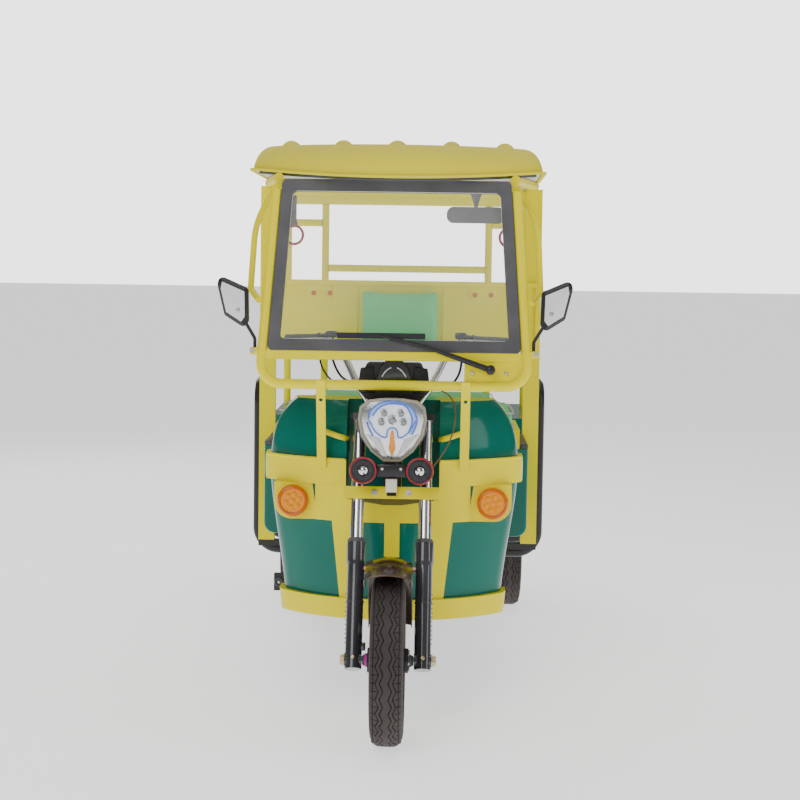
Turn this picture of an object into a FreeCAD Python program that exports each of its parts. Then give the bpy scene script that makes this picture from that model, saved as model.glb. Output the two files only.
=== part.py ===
import FreeCAD, Part
import math
import os

# Whole vehicle, in millimetres: x to its left, y to its rear, z up, places given behind the front axle
tyre_radius = 233.5
tyre_width = 92.0
rear_track = 816.0
floor_top = 336.0
middle_box_rear = 1480.0
passenger_gap = 330.0
quarter_reach = 290.0
rear_overhang = 446.5
quarter_front = middle_box_rear + passenger_gap
wheelbase = quarter_front + quarter_reach
overall_length = tyre_radius + wheelbase + rear_overhang
front_axle_y = tyre_radius - overall_length / 2
rear_end = overall_length - tyre_radius
origin = FreeCAD.Vector(0, 0, 0)
side_axis = FreeCAD.Vector(1, 0, 0)
length_axis = FreeCAD.Vector(0, 1, 0)
up_axis = FreeCAD.Vector(0, 0, 1)

# Clearances and sheet thicknesses shared by the pieces
seam = 0.3
running_fit = 0.05
overrun = 60.0
sheet = 3.0
shell_wall = 4.0

# Rear widths, all taken from the track so that the wheels keep their room
wheel_room_inside = 17.0
wheel_room_outside = 28.0
rear_box_half_width = rear_track / 2 - tyre_width / 2 - wheel_room_inside
quarter_outer_x = rear_track / 2 + tyre_width / 2 + wheel_room_outside

# Frame members
front_header_back = 366.0
sill_width = 30.0
sill_depth = 40.0
sill_half_span = 316.0
wide_floor_half_span = 380.0
wide_floor_gap = 50.0
rail_width = 40.0
rail_depth = 56.0
rail_half_span = min(rear_box_half_width - sill_width * 3, sill_half_span - sill_width * 2)
rail_front = 442.0
rear_rail_rise = 150.0
rail_rear = wheelbase - 264.0
rear_rail_end = wheelbase + 330.0
hanger_length = 26.0
frame_tube = 14.0
pillar_depth = 32.0
pillar_width = 52.0
pillar_foot_z = 392.0
outrigger_depth = 20.0
middle_pillar_back = 1100.0
middle_pillar_half_span = 459.0
rear_pillar_back = wheelbase + 230.0
rear_pillar_half_span = quarter_outer_x - 2.0
rear_post_half_span = rear_box_half_width - 11.0
rear_bar_z = 1279.0
side_bar_z = 1455.0

# Steering and fork, along the raked fork from the front axle
rake = 24.0
steer_offset = 38.0
fork_half_span = 95.0
fork_tube_radius = 18.5
slider_radius = 23.5
slider_collar_radius = 26.5
slider_top = 303.0
collar_length = 26.0
lower_yoke_along = 462.0
upper_yoke_along = 690.0
yoke_thickness = 20.0
yoke_wall = 6.0
stem_radius = 12.5
head_tube_radius = 26.0
axle_radius = 7.0

# Front cowl
cowl_bottom = 284.0
cowl_top = 916.0
cowl_half_width = 366.0
cowl_front = 288.0
cowl_bow = 172.0
cowl_back = 545.0
cowl_corner = 30.0
cowl_level_shares = (0.0, 0.38, 0.745, 0.9, 1.0)
cowl_width_shares = (0.87, 0.948, 1.0, 0.935, 0.803)
cowl_setback_shares = (0.16, 0.06, 0.0, 0.12, 0.4)
cowl_bow_shares = (0.97, 0.98, 1.0, 0.87, 0.6)
fork_channel_half_width = 134.0
fork_channel_behind_axis = 88.0
fork_channel_foot = 640.0

# Windscreen, in the plane of its leaning frame
screen_foot_back = 250.0
screen_foot_z = 1065.0
screen_lean = 10.4
screen_height = 493.0
screen_foot_half_width = 360.0
screen_head_half_width = 327.0
screen_rubber_width = 33.0
screen_rubber_depth = 20.0
screen_tube = 14.0
screen_tube_foot = 95.0
glass_thickness = 5.0

# Roof
roof_lip_z = 1555.0
roof_lip_rise = 25.0
roof_skirt = 24.0
roof_top_z = 1652.0
roof_front = 250.0
roof_rear = wheelbase + 340.0
roof_bow = 176.0
roof_front_half_width = 433.0
roof_rear_half_width = quarter_outer_x + 8.0
roof_corner = 46.0
roof_lip_reach = 8.0
roof_lip_height = 7.0
roof_level_shares = (0.0, 0.5, 0.86, 1.0)
roof_inset_shares = (0.0, 0.1, 0.42, 1.0)
roof_shoulder = 58.0
roof_rib_count = 5
roof_rib_pitch = 155.0
roof_rib_radius = 30.0
roof_rib_rise = 14.0
roof_lip_radius = (roof_front_half_width ** 2 + roof_lip_rise ** 2) / (2 * roof_lip_rise)
roof_rail_z = roof_lip_z - frame_tube - seam


def place(x, back, z):
    return FreeCAD.Vector(x, front_axle_y + back, z)


def block(x_low, x_high, back_low, back_high, z_low, z_high):
    size = (x_high - x_low, back_high - back_low, z_high - z_low)
    return Part.makeBox(*size, place(x_low, back_low, z_low))


def rod(start, end, radius):
    return Part.makeCylinder(radius, (end - start).Length, start, end - start)


def mirrored(shape):
    return shape.mirror(origin, side_axis)


def pair(shape):
    return [shape, mirrored(shape)]


def bent_tube(points, bends, radius):
    edges = []
    last = points[0]
    if isinstance(bends, float):
        bends = [bends] * len(points)
    for before, corner, after, bend_radius in zip(points, points[1:], points[2:], bends):
        toward_start = (before - corner).normalize()
        toward_end = (after - corner).normalize()
        half_angle = toward_start.getAngle(toward_end) / 2
        tangent = bend_radius / math.tan(half_angle)
        first = corner + toward_start * tangent
        final = corner + toward_end * tangent
        inward = (toward_start + toward_end).normalize()
        middle = corner + inward * (bend_radius / math.sin(half_angle) - bend_radius)
        edges.append(Part.LineSegment(last, first).toShape())
        edges.append(Part.Arc(first, middle, final).toShape())
        last = final
    edges.append(Part.LineSegment(last, points[-1]).toShape())
    section = Part.Wire([Part.makeCircle(radius, points[0], points[1] - points[0])])
    return Part.Wire(edges).makePipeShell([section], True, False)


def plate(points, direction):
    return Part.Face(Part.makePolygon(points + points[:1])).extrude(direction)


def rounded_plate(points, radius, direction):
    solid = plate(points, direction)
    corners = [edge for edge in solid.Edges if is_along(edge, direction)]
    return solid.makeFillet(radius, corners)


def is_along(edge, direction):
    run = edge.Vertexes[-1].Point - edge.Vertexes[0].Point
    return run.Length > 0 and run.cross(direction).Length < seam * direction.Length / overrun


def turned_profile(points, centre, axis):
    face = Part.Face(Part.makePolygon(points + points[:1]))
    return face.revolve(centre, axis, 360)


def save(name, solids):
    shape = solids[0] if len(solids) == 1 else Part.makeCompound(solids)
    shape.exportStep("parts/" + name + ".step")


# Fork coordinates: x sideways, rearward square to the steering axis, along it from the axle upwards
def on_fork(shape):
    placed = shape.copy()
    placed.rotate(origin, side_axis, -rake)
    placed.translate(place(0, 0, tyre_radius))
    return placed


def axis_back(z):
    return (z - tyre_radius) * math.tan(math.radians(rake)) + steer_offset / math.cos(math.radians(rake))


def fork_line(x, rearward, along_low, along_high, radius):
    start = FreeCAD.Vector(x, rearward, along_low)
    end = FreeCAD.Vector(x, rearward, along_high)
    return rod(start, end, radius)


# Windscreen coordinates: x sideways, depth behind the screen's face, height up the leaning plane
def on_screen(shape):
    placed = shape.copy()
    placed.rotate(origin, side_axis, -screen_lean)
    placed.translate(place(0, screen_foot_back, screen_foot_z))
    return placed


# Wheels: a tyre on a pressed rim with a vented disc and a brake drum round its hub
rim_seat_radius = 152.0
rim_flange_radius = 165.0
rim_half_width = 33.0
rim_wall = 4.0
rim_well_radius = 130.0
rim_well_half_width = 16.0
disc_wall = 5.0
disc_dish = 10.0
vent_count = 8
vent_radius = 13.0
vent_circle_radius = 106.0
hub_radius = 34.0
drum_radius = 84.0
drum_depth = 34.0
tyre_width_shares = (1.0, 0.88, 0.42)
tyre_height_shares = (0.46, 0.82, 1.0)


def tyre(centre):
    half = tyre_width / 2
    depth = tyre_radius - rim_seat_radius
    bead = rim_half_width - rim_wall - seam
    right = [(bead, rim_seat_radius + seam), (bead, rim_flange_radius + seam)]
    for width, height in zip(tyre_width_shares, tyre_height_shares):
        right.append((half * width, rim_seat_radius + depth * height))
    outline = [FreeCAD.Vector(x, 0, r) for x, r in right]
    outline += [FreeCAD.Vector(-x, 0, r) for x, r in right[::-1]]
    ring = turned_profile(outline, origin, side_axis)
    ring.translate(centre)
    return ring


def wheel(centre, side, hub_inner, hub_outer, bore_radius):
    # The rim's outline runs from flange to flange over its well
    outline = [(-rim_half_width, rim_flange_radius), (-rim_half_width, rim_seat_radius),
               (-rim_well_half_width, rim_seat_radius), (-rim_well_half_width, rim_well_radius),
               (rim_well_half_width, rim_well_radius), (rim_well_half_width, rim_seat_radius),
               (rim_half_width, rim_seat_radius), (rim_half_width, rim_flange_radius)]
    bead = rim_half_width - rim_wall
    low = [FreeCAD.Vector(x, 0, r - rim_wall) for x, r in outline[1:-1]]
    high = [FreeCAD.Vector(math.copysign(min(abs(x), bead), x), 0, r) for x, r in outline[1:-1]]
    high[1] = high[1] + side_axis * rim_wall
    high[2] = high[2] + side_axis * rim_wall
    high[3] = high[3] - side_axis * rim_wall
    high[4] = high[4] - side_axis * rim_wall
    tips = [FreeCAD.Vector(-bead, 0, rim_flange_radius), FreeCAD.Vector(-rim_half_width, 0, rim_flange_radius)]
    other = [FreeCAD.Vector(rim_half_width, 0, rim_flange_radius), FreeCAD.Vector(bead, 0, rim_flange_radius)]
    rim = turned_profile(tips + low + other + high[::-1], origin, side_axis)
    # The disc closes the wheel on its outer side and dishes in to the hub
    rim_inside = rim_well_radius - rim_wall / 2
    disc_profile = [FreeCAD.Vector(0, 0, rim_inside), FreeCAD.Vector(disc_wall, 0, rim_inside),
                    FreeCAD.Vector(disc_wall + disc_dish, 0, drum_radius),
                    FreeCAD.Vector(disc_wall + disc_dish, 0, hub_radius - rim_wall),
                    FreeCAD.Vector(disc_dish, 0, hub_radius - rim_wall),
                    FreeCAD.Vector(disc_dish, 0, drum_radius)]
    disc = turned_profile(disc_profile, origin, side_axis)
    vent = Part.makeCylinder(vent_radius, overrun, FreeCAD.Vector(-overrun / 2, 0, vent_circle_radius), side_axis)
    vents = [vent.copy() for _ in range(vent_count)]
    for number, hole in enumerate(vents):
        hole.rotate(origin, side_axis, 360 * number / vent_count)
    disc = disc.cut(Part.makeCompound(vents))
    drum = Part.makeCylinder(drum_radius, drum_depth, FreeCAD.Vector(disc_dish - drum_depth, 0, 0), side_axis)
    drum_edge = [edge for edge in drum.Edges if edge.BoundBox.XMax < disc_dish - drum_depth + seam]
    drum = drum.makeFillet(rim_wall, drum_edge[:1])
    hub = Part.makeCylinder(hub_radius, hub_outer - hub_inner, FreeCAD.Vector(hub_inner, 0, 0), side_axis)
    bore = Part.makeCylinder(bore_radius, overrun * 4, FreeCAD.Vector(-overrun * 2, 0, 0), side_axis)
    solid = rim.fuse([disc, drum, hub]).cut(bore)
    if side < 0:
        solid = mirrored(solid)
    solid.translate(centre)
    return solid


# Front wheel and its axle
front_hub_half_length = 56.0
axle_half_length = 132.0
spacer_radius = 12.0
nut_radius = 13.0
nut_thickness = 12.0
lug_radius = 19.0
lug_half_width = 24.0


def front_axle():
    centre = place(0, 0, tyre_radius)
    solid = rod(centre - side_axis * axle_half_length, centre + side_axis * axle_half_length, axle_radius)
    lug_inner = fork_half_span - lug_half_width - seam
    lug_outer = fork_half_span + lug_half_width + seam
    for side in (1, -1):
        spacer = rod(centre + side_axis * side * (front_hub_half_length + seam),
                     centre + side_axis * side * lug_inner, spacer_radius)
        nut = hexagon(centre + side_axis * side * lug_outer, side_axis * side, nut_radius, nut_thickness)
        solid = solid.fuse([spacer, nut])
    return solid


def hexagon(start, direction, radius, height):
    across = up_axis if abs(direction.z) < 1 / 2 else length_axis
    points = []
    for corner in range(6):
        spoke = FreeCAD.Rotation(direction, 60 * corner).multVec(across * radius)
        points.append(start + spoke)
    return plate(points, direction.normalize() * height)


# Fork sliders, tubes and the yokes that clamp them round the steering stem
slider_foot = 26.0


def fork_sliders():
    legs = []
    for side in (1, -1):
        x = side * fork_half_span
        barrel = fork_line(x, 0, -slider_foot, slider_top, slider_radius)
        collar = fork_line(x, 0, slider_top - collar_length, slider_top + collar_length, slider_collar_radius)
        taper = Part.makeCone(slider_radius, slider_collar_radius, collar_length / 2,
                              FreeCAD.Vector(x, 0, slider_top - collar_length * 3 / 2), up_axis)
        lug_start = FreeCAD.Vector(x - lug_half_width, 0, 0)
        lug = Part.makeCylinder(lug_radius, lug_half_width * 2, lug_start, side_axis)
        bore_start = FreeCAD.Vector(x - overrun, 0, 0)
        bore = Part.makeCylinder(axle_radius + running_fit, overrun * 2, bore_start, side_axis)
        legs.append(on_fork(barrel.fuse([collar, taper, lug]).cut(bore)))
    return legs


def fork_tubes():
    low = slider_top + collar_length + seam
    high = upper_yoke_along + yoke_thickness
    return [on_fork(fork_line(side * fork_half_span, 0, low, high, fork_tube_radius)) for side in (1, -1)]


def yoke(along):
    half = fork_half_span + fork_tube_radius + yoke_wall
    front = -fork_tube_radius - seam
    rear = steer_offset + stem_radius + yoke_thickness
    points = [FreeCAD.Vector(half, front, along), FreeCAD.Vector(half, -front, along),
              FreeCAD.Vector(stem_radius * 2, rear, along), FreeCAD.Vector(-stem_radius * 2, rear, along),
              FreeCAD.Vector(-half, -front, along), FreeCAD.Vector(-half, front, along)]
    return rounded_plate(points, yoke_thickness / 3, up_axis * yoke_thickness)


def fork_yokes():
    lower = yoke(lower_yoke_along)
    upper = yoke(upper_yoke_along)
    stem = fork_line(0, steer_offset, lower_yoke_along, upper_yoke_along + yoke_thickness, stem_radius)
    solid = lower.fuse([upper, stem])
    for side in (1, -1):
        bore = fork_line(side * fork_half_span, 0, 0, overall_length, fork_tube_radius + running_fit)
        solid = solid.cut(bore)
    return on_fork(solid)


def steering_head():
    low = lower_yoke_along + yoke_thickness + seam
    high = upper_yoke_along - seam
    tube = fork_line(0, steer_offset, low, high, head_tube_radius)
    neck_top_z = tyre_radius + (low + high) / 2 * math.cos(math.radians(rake))
    neck = neck_beam(neck_top_z)
    bore = fork_line(0, steer_offset, 0, overall_length, stem_radius + running_fit)
    return on_fork(tube).fuse(neck).cut(on_fork(bore))


neck_half_width = 22.0
neck_depth = 60.0
neck_foot_back = 490.0


def neck_beam(top_z):
    top_back = axis_back(top_z)
    foot_z = floor_top - rail_depth
    points = [place(-neck_half_width, top_back, top_z + neck_depth / 2),
              place(-neck_half_width, top_back, top_z - neck_depth / 2),
              place(-neck_half_width, neck_foot_back - neck_depth, foot_z + rail_depth / 2),
              place(-neck_half_width, neck_foot_back - neck_depth, foot_z),
              place(-neck_half_width, neck_foot_back, foot_z),
              place(-neck_half_width, neck_foot_back, foot_z + rail_depth)]
    return plate(points, side_axis * neck_half_width * 2)


# Cross plate in front of the fork, on the lower yoke
cross_plate_half_width = 134.5
cross_plate_height = 35.0
cross_plate_hole_spacing = 96.0
cross_plate_hole_radius = 3.3


def cross_plate():
    front = -fork_tube_radius - seam * 2
    low = lower_yoke_along - (cross_plate_height - yoke_thickness) / 2
    points = [FreeCAD.Vector(-cross_plate_half_width, front, low),
              FreeCAD.Vector(cross_plate_half_width, front, low),
              FreeCAD.Vector(cross_plate_half_width, front, low + cross_plate_height),
              FreeCAD.Vector(-cross_plate_half_width, front, low + cross_plate_height)]
    solid = rounded_plate(points, shell_wall, length_axis * -sheet)
    for side in (1, -1):
        start = FreeCAD.Vector(side * cross_plate_hole_spacing / 2, -overrun, low + cross_plate_height / 2)
        solid = solid.cut(Part.makeCylinder(cross_plate_hole_radius, overrun, start, length_axis))
    return on_fork(solid)


# Two horns side by side on a bar above the cross plate
horn_half_span = 79.0
horn_radius = 37.5
horn_depth = 32.0
horn_back = 120.0
horn_z = 741.0
horn_bar_height = 26.0
horn_bar_depth = 12.0


def horns():
    solids = []
    bar = block(-horn_half_span, horn_half_span, horn_back + horn_depth - horn_bar_depth,
                horn_back + horn_depth, horn_z - horn_bar_height / 2, horn_z + horn_bar_height / 2)
    for side in (1, -1):
        rim = Part.makeCylinder(horn_radius, horn_depth, place(side * horn_half_span, horn_back, horn_z), length_axis)
        rim = rim.makeFillet(shell_wall, rim.Edges)
        mouth = Part.makeCone(horn_radius - shell_wall * 2, horn_radius / 3, horn_depth / 3,
                              place(side * horn_half_span, horn_back, horn_z), length_axis)
        solids.append(rim.cut(mouth))
    # A bent stay laps over the cross plate and climbs to the bar
    lap = -fork_tube_radius - sheet - seam * 3
    x = -horn_bar_height / 2
    stay_high = lower_yoke_along + cross_plate_height
    points = [on_fork_point(x, lap, lower_yoke_along), on_fork_point(x, lap, stay_high),
              place(x, horn_back + horn_depth, horn_z), place(x, horn_back + horn_depth - sheet, horn_z),
              on_fork_point(x, lap - sheet, stay_high - sheet), on_fork_point(x, lap - sheet, lower_yoke_along)]
    stay = plate(points, side_axis * horn_bar_height)
    return solids[0].fuse([solids[1], bar, stay])


def on_fork_point(x, rearward, along):
    point = FreeCAD.Rotation(side_axis, -rake).multVec(FreeCAD.Vector(x, rearward, along))
    return point + place(0, 0, tyre_radius)


# Headlamp: a shield outline with a rounded brow, drawn in towards its chin
lamp_centre_z = 855.0
lamp_half_width = 101.0
lamp_brow = 86.0
lamp_chin = 98.0
lamp_front = 158.0
lamp_depth = 76.0
lamp_back_share = 0.7
lamp_lens_depth = 14.0
lamp_ear_height = 26.0
lamp_ear_reach = 14.0
lamp_jaw_shares = (0.2, 0.93)
lamp_cheek_shares = (0.8, 0.4)
lamp_lens_shares = (0.7, 0.92, 1.0)


def lamp_outline(scale, back):
    w = lamp_half_width * scale
    brow = lamp_brow * scale
    chin = lamp_chin * scale
    left_cheek = place(-w, back, lamp_centre_z)
    right_cheek = place(w, back, lamp_centre_z)
    top = place(0, back, lamp_centre_z + brow)
    jaw_out, jaw_down = lamp_jaw_shares
    cheek_out, cheek_down = lamp_cheek_shares
    left_jaw = place(-w * jaw_out, back, lamp_centre_z - chin * jaw_down)
    right_jaw = place(w * jaw_out, back, lamp_centre_z - chin * jaw_down)
    left_side = place(-w * cheek_out, back, lamp_centre_z - chin * cheek_down)
    right_side = place(w * cheek_out, back, lamp_centre_z - chin * cheek_down)
    tip = place(0, back, lamp_centre_z - chin)
    return Part.Wire([Part.Arc(left_cheek, top, right_cheek).toShape(),
                      Part.Arc(right_cheek, right_side, right_jaw).toShape(),
                      Part.Arc(right_jaw, tip, left_jaw).toShape(),
                      Part.Arc(left_jaw, left_side, left_cheek).toShape()])


def headlamp_housing():
    front = lamp_front + lamp_lens_depth + seam
    outside = Part.makeLoft([lamp_outline(1, front), lamp_outline(1, front + lamp_depth / 3),
                             lamp_outline(lamp_back_share, front + lamp_depth)], True, True)
    # An ear each side reaches back to the fork tube, hollowed to seat on it
    ear = block(lamp_half_width * lamp_back_share - lamp_ear_height, lamp_half_width, front + lamp_depth / 2,
                front + lamp_depth + lamp_ear_reach, lamp_centre_z - lamp_ear_height / 2,
                lamp_centre_z + lamp_ear_height / 2)
    tube = on_fork(fork_line(fork_half_span, 0, slider_top, overall_length, fork_tube_radius + seam))
    return outside.fuse(pair(ear.cut(tube)))


def headlamp_lens():
    outlines = []
    for number, share in enumerate(lamp_lens_shares):
        outlines.append(lamp_outline(share, lamp_front + lamp_lens_depth * number / 2))
    return Part.makeLoft(outlines, True, False)


# Front mudguard, arched over the tyre between the fork legs
mudguard_radius = 268.0
mudguard_crown = 16.0
mudguard_half_width = 63.0
mudguard_skirt = 22.0
mudguard_front_angle = 25.0
mudguard_rear_angle = 80.0
mudguard_boss_along = 256.0
mudguard_boss_radius = 9.0


def mudguard_section(drop):
    half = mudguard_half_width - drop
    edge = mudguard_radius - mudguard_skirt
    shoulder = mudguard_radius - drop
    top = mudguard_radius + mudguard_crown - drop
    return [FreeCAD.Vector(-half, 0, edge), FreeCAD.Vector(-half, 0, shoulder), FreeCAD.Vector(0, 0, top),
            FreeCAD.Vector(half, 0, shoulder), FreeCAD.Vector(half, 0, edge)]


def front_mudguard():
    outer = mudguard_section(0)
    inner = mudguard_section(sheet)
    edges = [Part.LineSegment(outer[0], outer[1]).toShape(), Part.Arc(*outer[1:4]).toShape(),
             Part.LineSegment(outer[3], outer[4]).toShape(), Part.LineSegment(outer[4], inner[4]).toShape(),
             Part.LineSegment(inner[4], inner[3]).toShape(), Part.Arc(*inner[3:0:-1]).toShape(),
             Part.LineSegment(inner[1], inner[0]).toShape(), Part.LineSegment(inner[0], outer[0]).toShape()]
    face = Part.Face(Part.Wire(edges))
    face.rotate(origin, side_axis, mudguard_front_angle)
    guard = face.revolve(origin, side_axis, -mudguard_front_angle - mudguard_rear_angle)
    guard.translate(place(0, 0, tyre_radius))
    # A boss each side bolts to the fork leg beside it
    boss_start = FreeCAD.Vector(mudguard_half_width - sheet, 0, mudguard_boss_along)
    boss_length = fork_half_span - slider_radius - seam - boss_start.x
    boss = on_fork(Part.makeCylinder(mudguard_boss_radius, boss_length, boss_start, side_axis))
    return guard.fuse(pair(boss))


# Handlebar, swept back from a clamp on the upper yoke
bar_radius = 11.0
bar_clamp_rise = 26.0
bar_elbow_x = 110.0
bar_elbow_z = 966.0
bar_elbow_back = 372.0
bar_shoulder_x = 160.0
bar_shoulder_z = 1062.0
bar_shoulder_back = 440.0
bar_grip_x = 215.0
bar_grip_z = 1085.0
bar_grip_back = 505.0
bar_end_x = 325.0
bar_end_z = 1080.0
bar_end_back = 556.0
bar_bend = 30.0
grip_radius = 17.0
grip_length = 112.0


def bar_points():
    side = [(bar_elbow_x, bar_elbow_back, bar_elbow_z), (bar_shoulder_x, bar_shoulder_back, bar_shoulder_z),
            (bar_grip_x, bar_grip_back, bar_grip_z), (bar_end_x, bar_end_back, bar_end_z)]
    clamp = on_fork_point(0, steer_offset, upper_yoke_along + yoke_thickness + bar_clamp_rise)
    middle = [(bar_elbow_x / 2, clamp.y - front_axle_y, clamp.z)]
    right = middle + side
    return [place(-x, back, z) for x, back, z in right[::-1]] + [place(x, back, z) for x, back, z in right]


def handlebar():
    bar = bent_tube(bar_points(), bar_bend, bar_radius)
    posts = []
    for side in (1, -1):
        low = upper_yoke_along + yoke_thickness + seam
        post = fork_line(side * bar_elbow_x / 3, steer_offset, low, low + bar_clamp_rise, bar_radius)
        posts.append(on_fork(post))
    return bar.fuse(posts)


def handle_grips():
    solids = []
    points = bar_points()
    for end, before in ((points[0], points[1]), (points[-1], points[-2])):
        direction = (end - before).normalize()
        start = end - direction * (grip_length - shell_wall)
        sleeve = rod(start, end + direction * shell_wall, grip_radius)
        flange = rod(start, start + direction * shell_wall, grip_radius + shell_wall)
        bore = rod(start - direction, end + direction * seam, bar_radius + running_fit)
        solids.append(sleeve.fuse(flange).cut(bore))
    return solids


# Instrument cluster above the lamp, ahead of the handlebar
cluster_half_width = 106.0
cluster_low_z = 925.0
cluster_high_z = 1032.0
cluster_front = 300.0
cluster_back = 345.0
cluster_corner = 28.0


def instrument_cluster():
    points = [place(-cluster_half_width, cluster_front, cluster_low_z + cluster_corner),
              place(-cluster_half_width + cluster_corner, cluster_front, cluster_low_z),
              place(cluster_half_width - cluster_corner, cluster_front, cluster_low_z),
              place(cluster_half_width, cluster_front, cluster_low_z + cluster_corner),
              place(cluster_half_width - cluster_corner, cluster_front, cluster_high_z),
              place(-cluster_half_width + cluster_corner, cluster_front, cluster_high_z)]
    solid = rounded_plate(points, cluster_corner / 2, length_axis * (cluster_back - cluster_front))
    return solid.cut(bent_tube(bar_points(), bar_bend, bar_radius + seam))


# Steering head, floor and frame
def chassis_frame():
    top = floor_top - sheet - seam
    rear_top = top + rear_rail_rise
    inner = rail_half_span - rail_width
    solids = []
    for side in (1, -1):
        spring_front = wheelbase - spring_half_length
        spring_rear = wheelbase + spring_half_length
        sill = block(sill_half_span - sill_width, sill_half_span, cowl_back + seam, spring_front - seam,
                     top - sill_depth, top)
        stand = block(sill_half_span - sill_width, sill_half_span, middle_pillar_back - pillar_depth / 2,
                      middle_pillar_back + pillar_depth / 2, floor_top + seam, pillar_foot_z - seam)
        outrigger = block(sill_half_span - sill_width, middle_pillar_half_span,
                          middle_pillar_back - pillar_depth / 2, middle_pillar_back + pillar_depth / 2,
                          pillar_foot_z - outrigger_depth, pillar_foot_z - seam)
        stand = stand.fuse(outrigger)
        rail = block(inner, rail_half_span, rail_front, rail_rear, top - rail_depth, top)
        riser = block(inner, rail_half_span, rail_rear + seam, rail_rear + rail_width, top - rail_depth, rear_top)
        rear_rail = block(inner, rail_half_span, rail_rear + rail_width + seam, rear_rail_end,
                          rear_top - rail_width, rear_top)
        hanger_low = spring_end_z() + seam
        hanger_outer = spring_x + spring_width / 2
        front_hanger = block(rail_half_span + seam, hanger_outer, spring_front, spring_front + hanger_length,
                             hanger_low, top)
        rear_hanger = block(rail_half_span + seam, hanger_outer, spring_rear - hanger_length, spring_rear,
                            hanger_low, rear_top)
        for solid in (sill, stand, rail, riser, rear_rail, front_hanger, rear_hanger):
            solids.append(solid if side > 0 else mirrored(solid))
    half = inner - seam
    for back in (neck_foot_back + seam, middle_pillar_back, rail_rear - rail_width):
        solids.append(block(-half, half, back, back + rail_width, top - rail_depth, top))
    for back in (cowl_back + seam, middle_pillar_back, quarter_front - sill_width * 4):
        arm = block(rail_half_span + seam, sill_half_span - sill_width - seam, back, back + sill_width,
                    top - sill_depth, top)
        solids += pair(arm)
    for back in (middle_box_rear + wide_floor_gap, quarter_front - sill_width * 3):
        arm = block(sill_half_span + seam, wide_floor_half_span, back, back + sill_width, top - sill_width, top)
        solids += pair(arm)
    solids.append(block(-half, half, rear_rail_end - rail_width, rear_rail_end, rear_top - rail_width, rear_top))
    return solids


def spring_end_z():
    return tyre_radius + housing_radius + seam + spring_arch + spring_thickness / 2


def floor_panel():
    narrow = block(-sill_half_span, sill_half_span, cowl_back + seam, quarter_front - seam, floor_top - sheet,
                   floor_top)
    wide = block(-wide_floor_half_span, wide_floor_half_span, middle_box_rear + wide_floor_gap,
                 quarter_front - seam, floor_top - sheet, floor_top)
    return narrow.fuse(wide).removeSplitter()


# Front cowl: a bowed nose lofted through level outlines, hollow and open behind
corner_width_share = 0.2
corner_back_share = 0.5


def bowed_outline(half_width, front, bow, back, corner, z):
    radius = (half_width ** 2 + bow ** 2) / (2 * bow)
    x = half_width - corner
    arc_back = front + radius - math.sqrt(radius ** 2 - x ** 2)
    side_back = front + bow + corner
    middle_x = half_width - corner * corner_width_share
    middle_back = arc_back + (side_back - arc_back) * corner_back_share
    right = [place(x, arc_back, z), place(middle_x, middle_back, z), place(half_width, side_back, z),
             place(half_width, back, z)]
    left = [place(-x, arc_back, z), place(-middle_x, middle_back, z), place(-half_width, side_back, z),
            place(-half_width, back, z)]
    return Part.Wire([Part.Arc(left[0], place(0, front, z), right[0]).toShape(),
                      Part.Arc(right[0], right[1], right[2]).toShape(),
                      Part.LineSegment(right[2], right[3]).toShape(),
                      Part.LineSegment(right[3], left[3]).toShape(),
                      Part.LineSegment(left[3], left[2]).toShape(),
                      Part.Arc(left[2], left[1], left[0]).toShape()])


def cowl_form(outset, back_reach=0):
    outlines = []
    height = cowl_top - cowl_bottom
    for level, width, setback, bow in zip(cowl_level_shares, cowl_width_shares,
                                          cowl_setback_shares, cowl_bow_shares):
        outlines.append(bowed_outline(cowl_half_width * width + outset,
                                      cowl_front + cowl_bow * setback - outset, cowl_bow * bow,
                                      cowl_back + back_reach, cowl_corner, cowl_bottom + height * level))
    return Part.makeLoft(outlines, True, False)


def cowl_surface_back(x, outset):
    half = cowl_half_width + outset
    radius = (half ** 2 + cowl_bow ** 2) / (2 * cowl_bow)
    return cowl_front - outset + radius - math.sqrt(radius ** 2 - x ** 2)


def fork_channel(grow):
    # A channel square to the fork's sweep, open forwards and upwards
    half = fork_channel_half_width + grow
    behind = fork_channel_behind_axis + grow
    foot = fork_channel_foot - grow
    top = cowl_top + overrun
    points = [place(-half, 0, foot), place(-half, axis_back(foot) + behind, foot),
              place(-half, axis_back(top) + behind, top), place(-half, 0, top)]
    return plate(points, side_axis * half * 2)


def front_cowl():
    outside = cowl_form(0).cut(fork_channel(0))
    reach = cowl_half_width + overrun
    under_cap = block(-reach, reach, 0, cowl_back + overrun, 0, cowl_top - shell_wall)
    inside = cowl_form(-shell_wall, overrun).common(under_cap).cut(fork_channel(shell_wall))
    shell = outside.cut(inside)
    slot_half = neck_half_width + shell_wall
    slot = block(-slot_half, slot_half, 0, cowl_back + overrun, fork_channel_foot - overrun, horn_z + overrun)
    return shell.cut(slot)


# Yellow face on the cowl: a proud band, lamp pods, two legs, a centre post and a foot band
face_stand = 6.0
band_stand = 14.0
band_low_z = 677.0
band_high_z = 751.0
band_half_width = 384.0
pod_low_z = 570.0
pod_inner_x = 225.0
pod_outer_x = 345.0
pod_front = 350.0
pod_corner = 50.0
leg_top_inner_x = 114.0
leg_top_outer_x = 175.0
leg_foot_inner_x = 100.0
leg_foot_outer_x = 151.0
centre_post_half_width = 22.0
foot_band_high_z = 345.0
face_centre_top_z = 637.0


def curved_skin(stand, silhouette):
    return cowl_form(stand).common(silhouette).cut(cowl_form(seam))


def front_view(points):
    outline = [place(x, 0, z) for x, z in points]
    return plate(outline, length_axis * cowl_back)


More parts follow.
